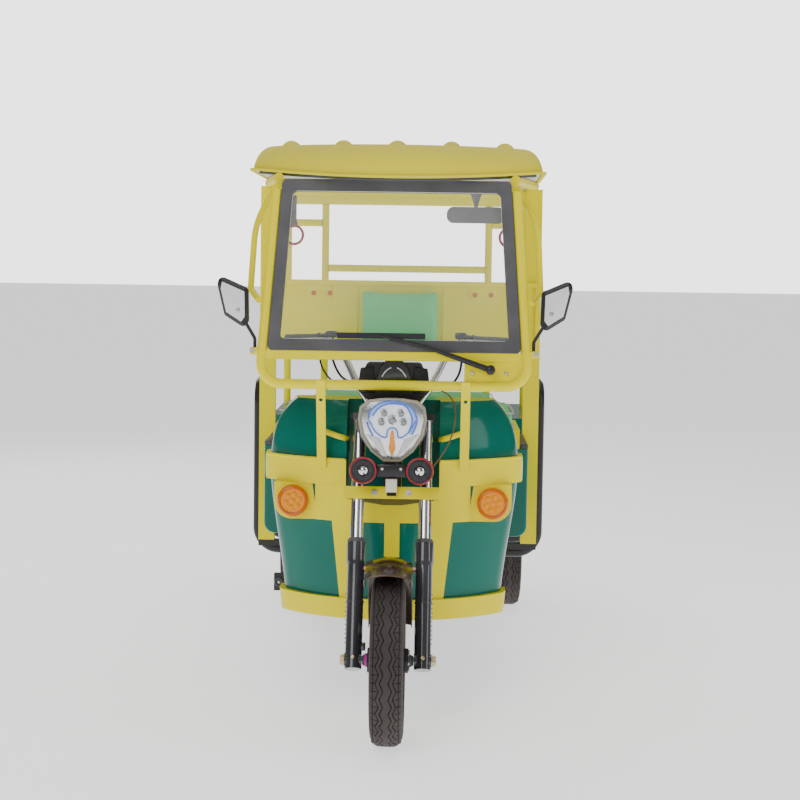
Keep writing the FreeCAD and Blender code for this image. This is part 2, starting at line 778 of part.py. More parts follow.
def cowl_face():
    outer = cowl_half_width + overrun
    upper = []
    for side in (1, -1):
        upper.append(front_view([(side * (fork_channel_half_width + seam), band_low_z),
                                 (side * outer, band_low_z), (side * outer, band_high_z),
                                 (side * (fork_channel_half_width + seam), band_high_z)]))
    band = [curved_skin(band_stand, shape) for shape in upper]
    foot = curved_skin(band_stand, front_view([(-outer, cowl_bottom), (outer, cowl_bottom),
                                               (outer, foot_band_high_z), (-outer, foot_band_high_z)]))
    middle = front_view([(-pod_inner_x, pod_low_z), (pod_inner_x, pod_low_z), (pod_inner_x, band_low_z),
                         (fork_channel_half_width, band_low_z), (fork_channel_half_width, face_centre_top_z),
                         (-fork_channel_half_width, face_centre_top_z), (-fork_channel_half_width, band_low_z),
                         (-pod_inner_x, band_low_z)])
    post = front_view([(-centre_post_half_width, foot_band_high_z), (centre_post_half_width, foot_band_high_z),
                       (centre_post_half_width, pod_low_z), (-centre_post_half_width, pod_low_z)])
    shapes = [middle, post]
    for side in (1, -1):
        shapes.append(front_view([(side * leg_foot_inner_x, foot_band_high_z),
                                  (side * leg_foot_outer_x, foot_band_high_z),
                                  (side * leg_top_outer_x, pod_low_z), (side * leg_top_inner_x, pod_low_z)]))
    skins = [curved_skin(face_stand, shape) for shape in shapes]
    pods = []
    for side in (1, -1):
        points = [place(side * pod_inner_x, pod_front, pod_low_z), place(side * pod_outer_x, pod_front, pod_low_z),
                  place(side * pod_outer_x, pod_front, band_low_z), place(side * pod_inner_x, pod_front, band_low_z)]
        pod = plate(points, length_axis * (cowl_back - pod_front - overrun / 2))
        corner = [edge for edge in pod.Edges if is_along(edge, length_axis)
                  and abs(abs(edge.CenterOfMass.x) - pod_outer_x) < seam
                  and abs(edge.CenterOfMass.z - pod_low_z) < seam]
        pods.append(pod.makeFillet(pod_corner, corner).cut(cowl_form(seam)))
    return band[0].fuse([band[1], foot] + skins + pods).removeSplitter()


# Turn lamps, round and facing forwards on the pods
turn_lamp_x = 290.0
turn_lamp_z = 625.0
turn_lamp_radius = 44.0
turn_lamp_depth = 24.0
turn_lamp_dome = 7.0


def turn_lamps():
    front = pod_front - turn_lamp_depth
    solids = []
    for side in (1, -1):
        centre = place(side * turn_lamp_x, front, turn_lamp_z)
        lamp = Part.makeCylinder(turn_lamp_radius, turn_lamp_depth - seam, centre, length_axis)
        front_edge = [edge for edge in lamp.Edges if edge.BoundBox.YMax < centre.y + seam]
        solids.append(lamp.makeFillet(turn_lamp_dome, front_edge))
    return solids


# Windscreen frame: one tube bent into a U, a bar under the glass and two flat stays down to the cowl
stay_half_span = 205.0
stay_width = 26.0
stay_thickness = 5.0
stay_foot_z = 724.0
stay_hole_z = 928.0
stay_hole_radius = 5.5
screen_bar_height = 24.0
wiper_plate_inner_x = 200.0


def screen_half_width(height):
    slope = (screen_head_half_width - screen_foot_half_width) / screen_height
    return screen_foot_half_width + slope * height


def windscreen_frame():
    reach = screen_tube + seam
    foot = -screen_tube_foot
    head = screen_height - screen_tube * 2
    points = [FreeCAD.Vector(-screen_half_width(head) - reach, 0, head),
              FreeCAD.Vector(-screen_half_width(foot) - reach, 0, foot),
              FreeCAD.Vector(screen_half_width(foot) + reach, 0, foot),
              FreeCAD.Vector(screen_half_width(head) + reach, 0, head)]
    tube = bent_tube(points, overrun, screen_tube)
    low = -screen_bar_height - seam
    bar_half = screen_half_width(low) + reach
    bar = Part.makeBox(bar_half * 2, screen_tube, screen_bar_height, FreeCAD.Vector(-bar_half, -screen_tube / 2, low))
    panel_high = low + screen_bar_height / 2
    corner_x = screen_half_width(foot) + reach
    panel_points = [FreeCAD.Vector(wiper_plate_inner_x, 0, foot), FreeCAD.Vector(corner_x - overrun, 0, foot),
                    FreeCAD.Vector(corner_x, 0, foot + overrun / 2), FreeCAD.Vector(corner_x, 0, panel_high),
                    FreeCAD.Vector(wiper_plate_inner_x, 0, panel_high)]
    panel = plate(panel_points, length_axis * sheet)
    return on_screen(tube.fuse([bar, panel]))


def stay_line(z):
    lean = math.radians(screen_lean)
    top_z = screen_foot_z - screen_tube_foot * math.cos(lean)
    centre_back = screen_foot_back - screen_tube_foot * math.sin(lean)
    foot_back = cowl_surface_back(stay_half_span - stay_width / 2, band_stand) - seam * 2
    stay_lean = math.atan2(foot_back - centre_back, top_z - stay_foot_z)
    top_back = centre_back - (screen_tube + seam) / math.cos(stay_lean)
    share = (z - stay_foot_z) / (top_z - stay_foot_z)
    return foot_back + (top_back - foot_back) * share


def front_stays():
    solids = []
    top_z = screen_foot_z - screen_tube_foot + screen_tube
    for side in (1, -1):
        x = side * stay_half_span
        points = [place(x - stay_width / 2, stay_line(z) - shift, z)
                  for z, shift in ((stay_foot_z, 0), (top_z, 0), (top_z, stay_thickness), (stay_foot_z, stay_thickness))]
        stay = plate(points, side_axis * stay_width)
        hole = Part.makeCylinder(stay_hole_radius, overrun * 2,
                                 place(x, stay_line(stay_hole_z) - overrun, stay_hole_z), length_axis)
        solids.append(stay.cut(hole))
    return solids


# Windscreen rubber and glass
def screen_outline(inset, depth):
    low = inset
    high = screen_height - inset
    return [FreeCAD.Vector(-screen_half_width(low) + inset, depth, low),
            FreeCAD.Vector(screen_half_width(low) - inset, depth, low),
            FreeCAD.Vector(screen_half_width(high) - inset, depth, high),
            FreeCAD.Vector(-screen_half_width(high) + inset, depth, high)]


screen_corner = 14.0


def windscreen_rubber():
    half = screen_rubber_depth / 2
    outside = rounded_plate(screen_outline(0, -half), screen_corner, length_axis * screen_rubber_depth)
    inside = rounded_plate(screen_outline(screen_rubber_width, -half - seam), screen_corner,
                           length_axis * (screen_rubber_depth + seam * 2))
    return on_screen(outside.cut(inside))


def windscreen_glass():
    outline = screen_outline(screen_rubber_width + seam, -glass_thickness / 2)
    return on_screen(rounded_plate(outline, screen_corner, length_axis * glass_thickness))


# Wiper: a spindle on the plate, an arm over the rubber and a blade on the glass
wiper_pivot_x = 273.0
wiper_pivot_height = -51.0
wiper_elbow_x = 88.0
wiper_elbow_height = 14.0
wiper_blade_inner_x = -162.0
wiper_blade_height = 44.0
wiper_spindle_radius = 11.0
wiper_arm_radius = 5.0
wiper_blade_depth = 8.0


def wiper():
    face = -screen_rubber_depth / 2 - wiper_arm_radius - seam
    pivot = FreeCAD.Vector(wiper_pivot_x, -screen_rubber_depth - wiper_arm_radius, wiper_pivot_height)
    spindle = Part.makeCylinder(wiper_spindle_radius, screen_rubber_depth + wiper_arm_radius - seam, pivot, length_axis)
    elbow = FreeCAD.Vector(wiper_elbow_x, face - wiper_arm_radius, wiper_elbow_height)
    tip = FreeCAD.Vector((wiper_blade_inner_x + wiper_elbow_x) / 2, face, wiper_blade_height)
    arm = rod(pivot + length_axis * wiper_arm_radius, elbow, wiper_arm_radius)
    reach = rod(elbow, tip, wiper_arm_radius)
    joint = Part.makeSphere(wiper_arm_radius, elbow)
    blade = Part.makeBox(wiper_elbow_x - wiper_blade_inner_x, wiper_blade_depth, wiper_blade_depth * 2,
                         FreeCAD.Vector(wiper_blade_inner_x, face, wiper_blade_height - wiper_blade_depth))
    lip = Part.makeBox(wiper_elbow_x - wiper_blade_inner_x, -face - glass_thickness / 2 - seam, sheet,
                       FreeCAD.Vector(wiper_blade_inner_x, face, wiper_blade_height))
    return on_screen(spindle.fuse([arm, reach, joint, blade, lip]))


# Mirrors: one inside under the header, two outside on bent arms
cab_mirror_x = 228.0
cab_mirror_half_width = 84.0
cab_mirror_low_z = 1433.0
cab_mirror_high_z = 1480.0
cab_mirror_back = 372.0
cab_mirror_depth = 20.0
cab_mirror_stem = 5.0
mirror_arm_radius = 5.0
mirror_foot_x = 395.0
mirror_foot_back = 249.0
mirror_foot_z = 1062.0
mirror_arm_rise = 36.0
mirror_centre_x = 458.0
mirror_centre_back = 256.0
mirror_centre_z = 1202.0
mirror_half_width = 45.0
mirror_half_height = 75.0
mirror_depth = 24.0
mirror_corner = 14.0
mirror_back_bevel = 9.0
mirror_rim = 5.0
mirror_corner_shares = ((-0.96, 0.5), (0.9, 0.98), (1.0, 0.62), (0.55, -0.52), (-0.7, -1.0), (-1.0, -0.75))


def cab_mirror():
    x = cab_mirror_x
    points = [place(x - cab_mirror_half_width, cab_mirror_back, cab_mirror_low_z),
              place(x + cab_mirror_half_width, cab_mirror_back, cab_mirror_low_z),
              place(x + cab_mirror_half_width, cab_mirror_back, cab_mirror_high_z),
              place(x - cab_mirror_half_width, cab_mirror_back, cab_mirror_high_z)]
    body = rounded_plate(points, cab_mirror_depth, length_axis * cab_mirror_depth)
    middle = place(x, cab_mirror_back + cab_mirror_depth / 2, cab_mirror_high_z - cab_mirror_depth)
    top = place(x, front_header_back, roof_rail_z)
    header = rod(place(0, front_header_back, roof_rail_z), place(overall_length, front_header_back, roof_rail_z),
                 frame_tube + seam)
    return body.fuse(rod(middle, top, cab_mirror_stem).cut(header))


def mirror_form(inset, depth_low, depth_high, corner):
    points = [FreeCAD.Vector(wide * (mirror_half_width - inset), depth_low, high * (mirror_half_height - inset))
              for wide, high in mirror_corner_shares]
    return rounded_plate(points, corner, length_axis * (depth_high - depth_low))


def side_mirror():
    half = mirror_depth / 2
    body = mirror_form(0, -half, half, mirror_corner)
    back_edges = [edge for edge in body.Edges if edge.BoundBox.YMax < seam - half]
    body = body.makeChamfer(mirror_back_bevel, back_edges)
    body = body.cut(mirror_form(mirror_rim, half - sheet, half + sheet, mirror_corner - mirror_rim))
    body.translate(place(mirror_centre_x, mirror_centre_back, mirror_centre_z))
    low = place(mirror_foot_x, mirror_foot_back, mirror_foot_z)
    bend = place(mirror_foot_x, mirror_foot_back, mirror_foot_z + mirror_arm_rise)
    end = place(mirror_centre_x - mirror_half_width / 3, mirror_centre_back, mirror_centre_z - mirror_half_height / 3)
    arm = bent_tube([low, bend, end], mirror_arm_radius * 3, mirror_arm_radius)
    inner_x = screen_half_width(mirror_foot_z - screen_foot_z) + screen_tube * 2 + seam * 2
    clamp = rod(place(inner_x, mirror_foot_back, mirror_foot_z), low + side_axis * mirror_arm_radius,
                mirror_arm_radius)
    return body.fuse([arm, clamp])


# Grab rails bowed out beside the windscreen
grab_rail_radius = 9.0
grab_top_back = 420.0
grab_shoulder_x = 408.0
grab_shoulder_back = 380.0
grab_shoulder_z = 1430.0
grab_hip_x = 415.0
grab_hip_back = 320.0
grab_hip_z = 1236.0
grab_foot_z = 1206.0
grab_bends = (260.0, 30.0)


def grab_rails():
    rail_x = roof_rail_half_span(grab_top_back)
    top = place(rail_x, grab_top_back, roof_rail_centre_z(rail_x) - frame_tube - grab_rail_radius / 2.2)
    high = place(grab_shoulder_x, grab_shoulder_back, grab_shoulder_z)
    low = place(grab_hip_x, grab_hip_back, grab_hip_z)
    height = (grab_foot_z - screen_foot_z) / math.cos(math.radians(screen_lean))
    lean_back = screen_foot_back + (grab_foot_z - screen_foot_z) * math.tan(math.radians(screen_lean))
    foot_x = screen_half_width(height) + screen_tube * 2 + grab_rail_radius
    foot = place(foot_x, lean_back, grab_foot_z)
    return pair(bent_tube([top, high, low, foot], grab_bends, grab_rail_radius))


# Cab frame: roof rails on pillars, with cross tubes and the bars round the rear window
def roof_rail_half_span(back):
    front = screen_head_half_width + screen_tube
    if back < middle_pillar_back:
        share = (back - front_header_back) / (middle_pillar_back - front_header_back)
        return front + (middle_pillar_half_span - pillar_width / 2 - front) * share
    share = (back - middle_pillar_back) / (rear_pillar_back - middle_pillar_back)
    middle = middle_pillar_half_span - pillar_width / 2
    return middle + (rear_pillar_half_span - frame_tube - middle) * min(share, 1)


def roof_lip_height_at(x):
    return roof_lip_z + roof_lip_radius - math.sqrt(roof_lip_radius ** 2 - x ** 2)


def roof_rail_centre_z(x):
    return roof_lip_height_at(x) - frame_tube - seam


def roof_rail(grow):
    stations = (front_header_back - frame_tube, middle_pillar_back, rear_pillar_back + frame_tube)
    points = []
    for back in stations:
        x = roof_rail_half_span(back)
        points.append(place(x, back, roof_rail_centre_z(x)))
    radius = frame_tube + grow
    return rod(points[0], points[1], radius).fuse(rod(points[1], points[2], radius))


def cab_frame():
    solids = pair(roof_rail(0))
    socket = roof_rail(seam).fuse(mirrored(roof_rail(seam)))
    middle_x = middle_pillar_half_span - pillar_width
    corner_x = rear_pillar_half_span - frame_tube
    quarter_back = (middle_pillar_back + rear_pillar_back) / 2
    for back, half in ((front_header_back, roof_rail_half_span(front_header_back)),
                       (middle_pillar_back, middle_x - seam), (quarter_back, roof_rail_half_span(quarter_back)),
                       (rear_pillar_back, corner_x - frame_tube - seam)):
        cross = rod(place(-half, back, roof_rail_z), place(half, back, roof_rail_z), frame_tube).cut(socket)
        solids.append(max(cross.Solids, key=lambda solid: solid.Volume))
    pillar = block(middle_x, middle_pillar_half_span, middle_pillar_back - pillar_depth / 2,
                   middle_pillar_back + pillar_depth / 2, pillar_foot_z,
                   roof_rail_centre_z(middle_x) - frame_tube / 2)
    pillar = pillar.cut(socket)
    solids += pair(max(pillar.Solids, key=lambda solid: solid.Volume))
    pillar_top = roof_rail_centre_z(corner_x) - frame_tube - seam
    solids += pair(rod(place(corner_x, rear_pillar_back, body_deck_z + seam),
                       place(corner_x, rear_pillar_back, pillar_top), frame_tube))
    post_x = rear_post_half_span - frame_tube
    solids += pair(rod(place(post_x, rear_pillar_back, body_deck_z + seam),
                       place(post_x, rear_pillar_back, roof_rail_z - frame_tube - seam), frame_tube))
    half = post_x - frame_tube - seam
    solids.append(rod(place(-half, rear_pillar_back, rear_bar_z), place(half, rear_pillar_back, rear_bar_z),
                      frame_tube))
    short = rod(place(post_x + frame_tube + seam, rear_pillar_back, side_bar_z),
                place(corner_x - frame_tube - seam, rear_pillar_back, side_bar_z), frame_tube)
    solids += pair(short)
    return solids


# Roof: a moulded shell with a flared lip that rises to its sides and five long ribs, over a thin liner
roof_corner_shares = (0.2, 0.04, 0.293)


def roof_outline(inset, z):
    front_half = roof_front_half_width - roof_lip_reach - inset
    rear_half = roof_rear_half_width - roof_lip_reach - inset
    front = roof_front + roof_lip_reach + inset
    rear = roof_rear - roof_lip_reach - inset
    return roof_wire(front_half, rear_half, front, rear, roof_corner, z)


def roof_wire(front_half, rear_half, front, rear, corner, z):
    radius = (front_half ** 2 + roof_bow ** 2) / (2 * roof_bow)
    x = front_half - corner
    arc_back = front + radius - math.sqrt(radius ** 2 - x ** 2)
    side_back = front + roof_bow + corner
    front_share, side_share, rear_share = roof_corner_shares
    right = [place(x, arc_back, z), place(front_half - corner * front_share, (arc_back + side_back) / 2, z),
             place(front_half + corner * side_share, side_back, z), place(rear_half, rear - corner, z),
             place(rear_half - corner * rear_share, rear - corner * rear_share, z), place(rear_half - corner, rear, z)]
    left = [FreeCAD.Vector(-point.x, point.y, point.z) for point in right]
    return Part.Wire([Part.Arc(left[0], place(0, front, z), right[0]).toShape(),
                      Part.Arc(*right[0:3]).toShape(),
                      Part.LineSegment(right[2], right[3]).toShape(),
                      Part.Arc(*right[3:6]).toShape(),
                      Part.LineSegment(right[5], left[5]).toShape(),
                      Part.Arc(*left[5:2:-1]).toShape(),
                      Part.LineSegment(left[3], left[2]).toShape(),
                      Part.Arc(*left[2::-1]).toShape()])


def roof_form(inset):
    outlines = [roof_outline(inset, roof_lip_z - roof_skirt)]
    height = roof_top_z - roof_lip_z
    for level, drawn_in in zip(roof_level_shares, roof_inset_shares):
        outlines.append(roof_outline(inset + roof_shoulder * drawn_in, roof_lip_z + height * level))
    return Part.makeLoft(outlines, True, False)


def roof_front_edge(x):
    radius = (roof_front_half_width ** 2 + roof_bow ** 2) / (2 * roof_bow)
    return roof_front + radius - math.sqrt(radius ** 2 - x ** 2)


def roof_shell():
    outside = roof_form(0)
    centre_z = roof_top_z + roof_rib_rise - roof_rib_radius
    ribs = []
    for number in range(roof_rib_count):
        x = (number - (roof_rib_count - 1) / 2) * roof_rib_pitch
        front = place(x, roof_front_edge(x) + roof_lip_reach + roof_shoulder + roof_rib_radius, centre_z)
        rear = place(x, roof_rear - roof_shoulder * 2, centre_z)
        ribs.append(rod(front, rear, roof_rib_radius))
        ribs.append(Part.makeSphere(roof_rib_radius, front))
        ribs.append(Part.makeSphere(roof_rib_radius, rear))
    outside = outside.fuse(ribs).common(above_lip(0))
    lip = Part.Face(roof_wire(roof_front_half_width, roof_rear_half_width, roof_front, roof_rear,
                              roof_corner + roof_lip_reach, roof_lip_z - roof_skirt)).extrude(up_axis * overrun)
    lip = lip.common(above_lip(0)).cut(above_lip(roof_lip_height))
    reach = roof_rear_half_width
    under_cap = block(-reach, reach, 0, roof_rear, roof_lip_z - roof_skirt * 2, roof_top_z - shell_wall)
    return outside.fuse(lip).cut(roof_form(shell_wall).common(under_cap))


def above_lip(lift):
    # All that lies above the lip's curve, which sags towards the middle
    centre = place(0, -overrun, roof_lip_z + roof_lip_radius)
    return Part.makeCylinder(roof_lip_radius - lift, roof_rear + overrun * 3, centre, length_axis)


def roof_liner():
    sheet_form = Part.Face(roof_outline(shell_wall * 2 + seam * 3, roof_lip_z - roof_skirt)).extrude(up_axis * overrun * 2)
    return sheet_form.common(above_lip(seam)).cut(above_lip(seam + sheet))


# Seats: sheet boxes, cushions on them and boards with pads between the pillars
seat_half_width = 383.0
seat_base_half_width = 312.0
seat_box_depth = 60.0
cushion_half_width = 368.0
driver_box_front = 745.0
driver_box_top = 802.0
cushion_thickness = 62.0
cushion_overhang = 30.0
middle_box_front = 1122.0
middle_box_top = 770.0
rear_cushion_front = quarter_front + 120.0
body_deck_z = 742.0
board_low_z = 1040.0
board_high_z = 1253.0
rear_board_low_z = 985.0
rear_board_high_z = 1190.0
pad_half_width = 133.0
pad_thickness = 44.0
pad_low_z = 1044.0
pad_high_z = 1223.0
pad_corner = 12.0


def hollow_box(x_half, front, rear, low, high):
    outside = block(-x_half, x_half, front, rear, low, high)
    inside = block(-x_half + sheet, x_half - sheet, front + sheet, rear - sheet, low - sheet, high - sheet)
    return outside.cut(inside)


def bench_box(front, rear, top):
    # A narrow base carries a wider tray under the cushion
    base = hollow_box(seat_base_half_width, front, rear, floor_top + seam, top)
    tray = hollow_box(seat_half_width, front, rear, top - seat_box_depth, top)
    hollow = block(-seat_base_half_width + sheet, seat_base_half_width - sheet, front + sheet, rear - sheet,
                   floor_top, top - sheet)
    return base.fuse(tray).cut(hollow).removeSplitter()


def driver_box_rear():
    return middle_pillar_back - pillar_depth / 2 - seam


def seat_boxes():
    driver = bench_box(driver_box_front, driver_box_rear(), driver_box_top)
    middle = bench_box(middle_box_front, middle_box_rear, middle_box_top)
    rear_end_back = rear_pillar_back - frame_tube * 2
    base = block(-rear_box_half_width, rear_box_half_width, quarter_front, rear_end_back, floor_top - sheet,
                 body_deck_z)
    under = block(-rear_box_half_width + sheet, rear_box_half_width - sheet, quarter_front + sheet, rear_end_back,
                  floor_top - sheet, body_deck_z - sheet)
    return [driver, middle, base.cut(under)]


def cushion(half_width, front, rear, low):
    body = block(-half_width, half_width, front, rear, low + seam, low + cushion_thickness)
    return body.makeChamfer(pad_corner, body.Edges)


def seat_cushions():
    driver = cushion(cushion_half_width, driver_box_front - cushion_overhang, board_face_back() - pad_thickness - seam,
                     driver_box_top)
    middle = cushion(cushion_half_width, middle_box_front, middle_box_rear + cushion_overhang, middle_box_top)
    rear = cushion(rear_box_half_width, rear_cushion_front, rear_pillar_back - frame_tube * 3,
                   body_deck_z)
    return [driver, middle, rear]


def board_face_back():
    return middle_pillar_back - pillar_depth / 2 - seam - sheet


def backrest_boards():
    half = middle_pillar_half_span - sheet
    face = board_face_back()
    front = block(-half, half, face, face + sheet, board_low_z, board_high_z)
    rear_half = rear_pillar_half_span - frame_tube
    rear_face = rear_pillar_back - frame_tube - sheet - seam
    rear = block(-rear_half, rear_half, rear_face, rear_face + sheet, rear_board_low_z, rear_board_high_z)
    return [front, rear]


def back_pads():
    face = board_face_back()
    driver = block(-pad_half_width, pad_half_width, face - pad_thickness, face - seam, pad_low_z, pad_high_z)
    rear_face = rear_pillar_back - frame_tube - sheet - seam
    rear = block(-pad_half_width, pad_half_width, rear_face - pad_thickness, rear_face - seam,
                 rear_board_low_z + shell_wall, rear_board_high_z - shell_wall)
    behind = face + sheet + seam
    middle = block(-pad_half_width, pad_half_width, behind, behind + pad_thickness, pad_low_z, pad_high_z)
    return [solid.makeChamfer(pad_corner, solid.Edges) for solid in (driver, middle, rear)]


# Moulded side panels under the trays of the two front benches
panel_outer_x = 410.0
panel_drop = 276.0
panel_corner = 34.0
panel_edge = 8.0


def side_panel(front, rear, tray_low):
    high = tray_low - seam
    low = high - panel_drop
    inner = seat_base_half_width + seam
    points = [place(inner, front, high), place(panel_outer_x, front, high), place(panel_outer_x, front, low),
              place(inner, front, low)]
    outside = plate(points, length_axis * (rear - front))
    corner = [edge for edge in outside.Edges if is_along(edge, length_axis)
              and abs(edge.CenterOfMass.x - panel_outer_x) < seam and abs(edge.CenterOfMass.z - low) < seam]
    outside = outside.makeFillet(panel_corner, corner)
    front_y = front_axle_y + front
    face_edges = [edge for edge in outside.Edges if edge.BoundBox.YMax < front_y + seam
                  and edge.BoundBox.XMax > inner + seam and edge.BoundBox.ZMin < high - seam]
    outside = outside.makeFillet(panel_edge, face_edges)
    inside = block(inner - sheet, panel_outer_x - shell_wall, front + panel_edge, rear - shell_wall,
                   low + panel_corner, high - shell_wall)
    return outside.cut(inside)


def side_panels():
    driver = side_panel(driver_box_front, driver_box_rear(), driver_box_top - seat_box_depth)
    middle = side_panel(middle_box_front, middle_box_rear, middle_box_top - seat_box_depth)
    return pair(driver) + pair(middle)


# Rear body: a quarter panel round each wheel and a panel across the tail
quarter_low_z = 300.0
arch_radius = 266.0
tail_back = wheelbase + 378.0
tail_low_z = 490.0


def quarter_panel():
    # Outer side with its wheel arch, a shelf over the wheel, and walls ahead of and behind it
    inner = rear_box_half_width + seam
    skin = quarter_outer_x - shell_wall
    side = block(skin, quarter_outer_x, quarter_front, tail_back, quarter_low_z, body_deck_z)
    arch = Part.makeCylinder(arch_radius, quarter_outer_x, place(0, wheelbase, tyre_radius), side_axis)
    foot = block(inner - sheet, quarter_outer_x + sheet, wheelbase - arch_radius, wheelbase + arch_radius,
                 quarter_low_z - sheet, quarter_low_z + sheet)
    side = side.cut(arch).cut(foot)
    shelf = block(inner, skin - seam, quarter_front, tail_back, body_deck_z - sheet, body_deck_z)
    front_wall = block(inner, skin - seam, quarter_front, quarter_front + sheet, quarter_low_z,
                       body_deck_z - sheet - seam)
    rear_wall = block(inner, skin - seam, tail_back - sheet, tail_back, quarter_low_z, body_deck_z - sheet - seam)
    return [side, shelf, front_wall, rear_wall]


def rear_quarters(side):
    return quarter_panel() if side > 0 else [mirrored(solid) for solid in quarter_panel()]


def rear_body():
    tail = block(-rear_box_half_width, rear_box_half_width, tail_back - sheet, tail_back, tail_low_z, body_deck_z)
    deck = block(-rear_box_half_width, rear_box_half_width, rear_pillar_back - frame_tube * 2 + seam,
                 tail_back - sheet - seam, body_deck_z - sheet, body_deck_z)
    return [tail, deck]


tail_lamp_x = rear_box_half_width + 55.0
tail_lamp_half_width = 46.0
tail_lamp_low_z = 560.0
tail_lamp_height = 92.0
tail_lamp_depth = 26.0


def tail_lamps():
    lamp = block(tail_lamp_x - tail_lamp_half_width, tail_lamp_x + tail_lamp_half_width, tail_back + seam,
                 tail_back + tail_lamp_depth, tail_lamp_low_z, tail_lamp_low_z + tail_lamp_height)
    rear_edges = [edge for edge in lamp.Edges if edge.BoundBox.YMin > front_axle_y + tail_back + seam * 2]
    return pair(lamp.makeFillet(shell_wall * 2, rear_edges))


# Rear bumper, a tube bent forwards at both ends and carried by two arms from the frame
bumper_radius = 21.0
bumper_z = 450.0
bumper_half_width = quarter_outer_x - 42.0
bumper_wrap = 46.0
bumper_bend = 44.0
tow_eye_radius = 24.0
tow_eye_bore = 10.5
tow_eye_thickness = 12.0


def rear_bumper():
    back = rear_end - bumper_radius
    eye_back = back - bumper_radius - tow_eye_bore - shell_wall
    points = [place(-bumper_half_width, back - bumper_wrap, bumper_z), place(-bumper_half_width, back, bumper_z),
              place(bumper_half_width, back, bumper_z), place(bumper_half_width, back - bumper_wrap, bumper_z)]
    tube = bent_tube(points, bumper_bend, bumper_radius)
    arms = []
    for side in (1, -1):
        x = side * (rail_half_span - rail_width / 2)
        arms.append(rod(place(x, rear_rail_end + seam, bumper_z), place(x, back, bumper_z), bumper_radius / 2))
    eye_z = bumper_z - bumper_radius - tow_eye_thickness / 2
    eye = Part.makeCylinder(tow_eye_radius, tow_eye_thickness, place(0, eye_back, eye_z), up_axis)
    web = block(-tow_eye_radius, tow_eye_radius, eye_back, back, eye_z, eye_z + tow_eye_thickness)
    bore = Part.makeCylinder(tow_eye_bore, overrun, place(0, eye_back, eye_z - overrun / 2), up_axis)
    return tube.fuse(arms + [eye, web]).cut(bore)


# Side guards: one bent tube a side, from the sill out, up, back and in again
guard_radius = 20.0
guard_outer_x = 482.0
guard_front = 1150.0
guard_rear = 1455.0
guard_low_z = 358.0
guard_high_z = 907.0
guard_bend = 66.0


def side_guards():
    x = guard_outer_x - guard_radius
    root = seat_base_half_width + seam
    low = guard_low_z
    points = [place(root, guard_front, low), place(x, guard_front, low), place(x, guard_front, guard_high_z),
              place(x, guard_rear, guard_high_z), place(x, guard_rear, low), place(root, guard_rear, low)]
    return pair(bent_tube(points, guard_bend, guard_radius))


# Battery, motor, rear axle and leaf springs
battery_half_width = 300.0
battery_length = 280.0
battery_height = 250.0
housing_radius = 29.0
differential_radius = 88.0
differential_width = 130.0
motor_radius = 72.0
motor_length = 200.0
stub_radius = 15.0
wheel_hub_inner = 60.0
spring_width = 50.0
spring_half_length = 310.0
spring_thickness = 26.0
spring_arch = 40.0
spring_x = rear_box_half_width - 12.0 - spring_width / 2


def battery_block():
    front = driver_box_front + sheet + seam
    return block(-battery_half_width, battery_half_width, front, front + battery_length,
                 floor_top + seam, floor_top + battery_height)


def rear_axle():
    centre = place(0, wheelbase, tyre_radius)
    half = rear_track / 2
    inner_face = half - wheel_hub_inner - seam
    solid = rod(centre - side_axis * inner_face, centre + side_axis * inner_face, housing_radius)
    stub = rod(centre - side_axis * (half + hub_radius), centre + side_axis * (half + hub_radius), stub_radius)
    bulge = Part.makeCylinder(differential_radius, differential_width,
                              centre - side_axis * differential_width / 2, side_axis)
    bulge = bulge.makeFillet(differential_radius / 4, bulge.Edges)
    motor = Part.makeCylinder(motor_radius, motor_length, place(0, wheelbase - differential_radius / 2, tyre_radius),
                              -length_axis)
    return solid.fuse([stub, bulge, motor])


def leaf_spring():
    low = tyre_radius + housing_radius + seam
    x = spring_x - spring_width / 2
    centre_top = low + spring_thickness
    ends_low = low + spring_arch
    half = spring_half_length
    lower = Part.Arc(place(x, wheelbase - half, ends_low), place(x, wheelbase, low),
                     place(x, wheelbase + half, ends_low)).toShape()
    upper = Part.Arc(place(x, wheelbase - half, ends_low + spring_thickness / 2), place(x, wheelbase, centre_top),
                     place(x, wheelbase + half, ends_low + spring_thickness / 2)).toShape()
    start = Part.LineSegment(lower.Vertexes[0].Point, upper.Vertexes[0].Point).toShape()
    end = Part.LineSegment(lower.Vertexes[-1].Point, upper.Vertexes[-1].Point).toShape()
    wire = Part.Wire(Part.__sortEdges__([lower, upper, start, end]))
    return Part.Face(wire).extrude(side_axis * spring_width)


def leaf_springs():
    return pair(leaf_spring())


# Brake pedal: a bracket on the sill's outer side with an upright pad
pedal_back = 602.0
pedal_bracket_length = 30.0
pedal_bracket_reach = 34.0
pedal_pad_width = 30.0
pedal_pad_height = 54.0
pedal_thickness = 10.0
pedal_bracket_height = 18.0


def brake_pedal():
    low = floor_top - sheet - seam - sill_depth / 2
    inner = -sill_half_span - seam
    bracket = block(inner - pedal_bracket_reach, inner, pedal_back, pedal_back + pedal_bracket_length,
                    low, low + pedal_bracket_height)
    pad = block(inner - pedal_pad_width * 1.6, inner - pedal_pad_width * 0.6, pedal_back - pedal_thickness,
                pedal_back, low, low + pedal_pad_height)
    return bracket.fuse(pad)


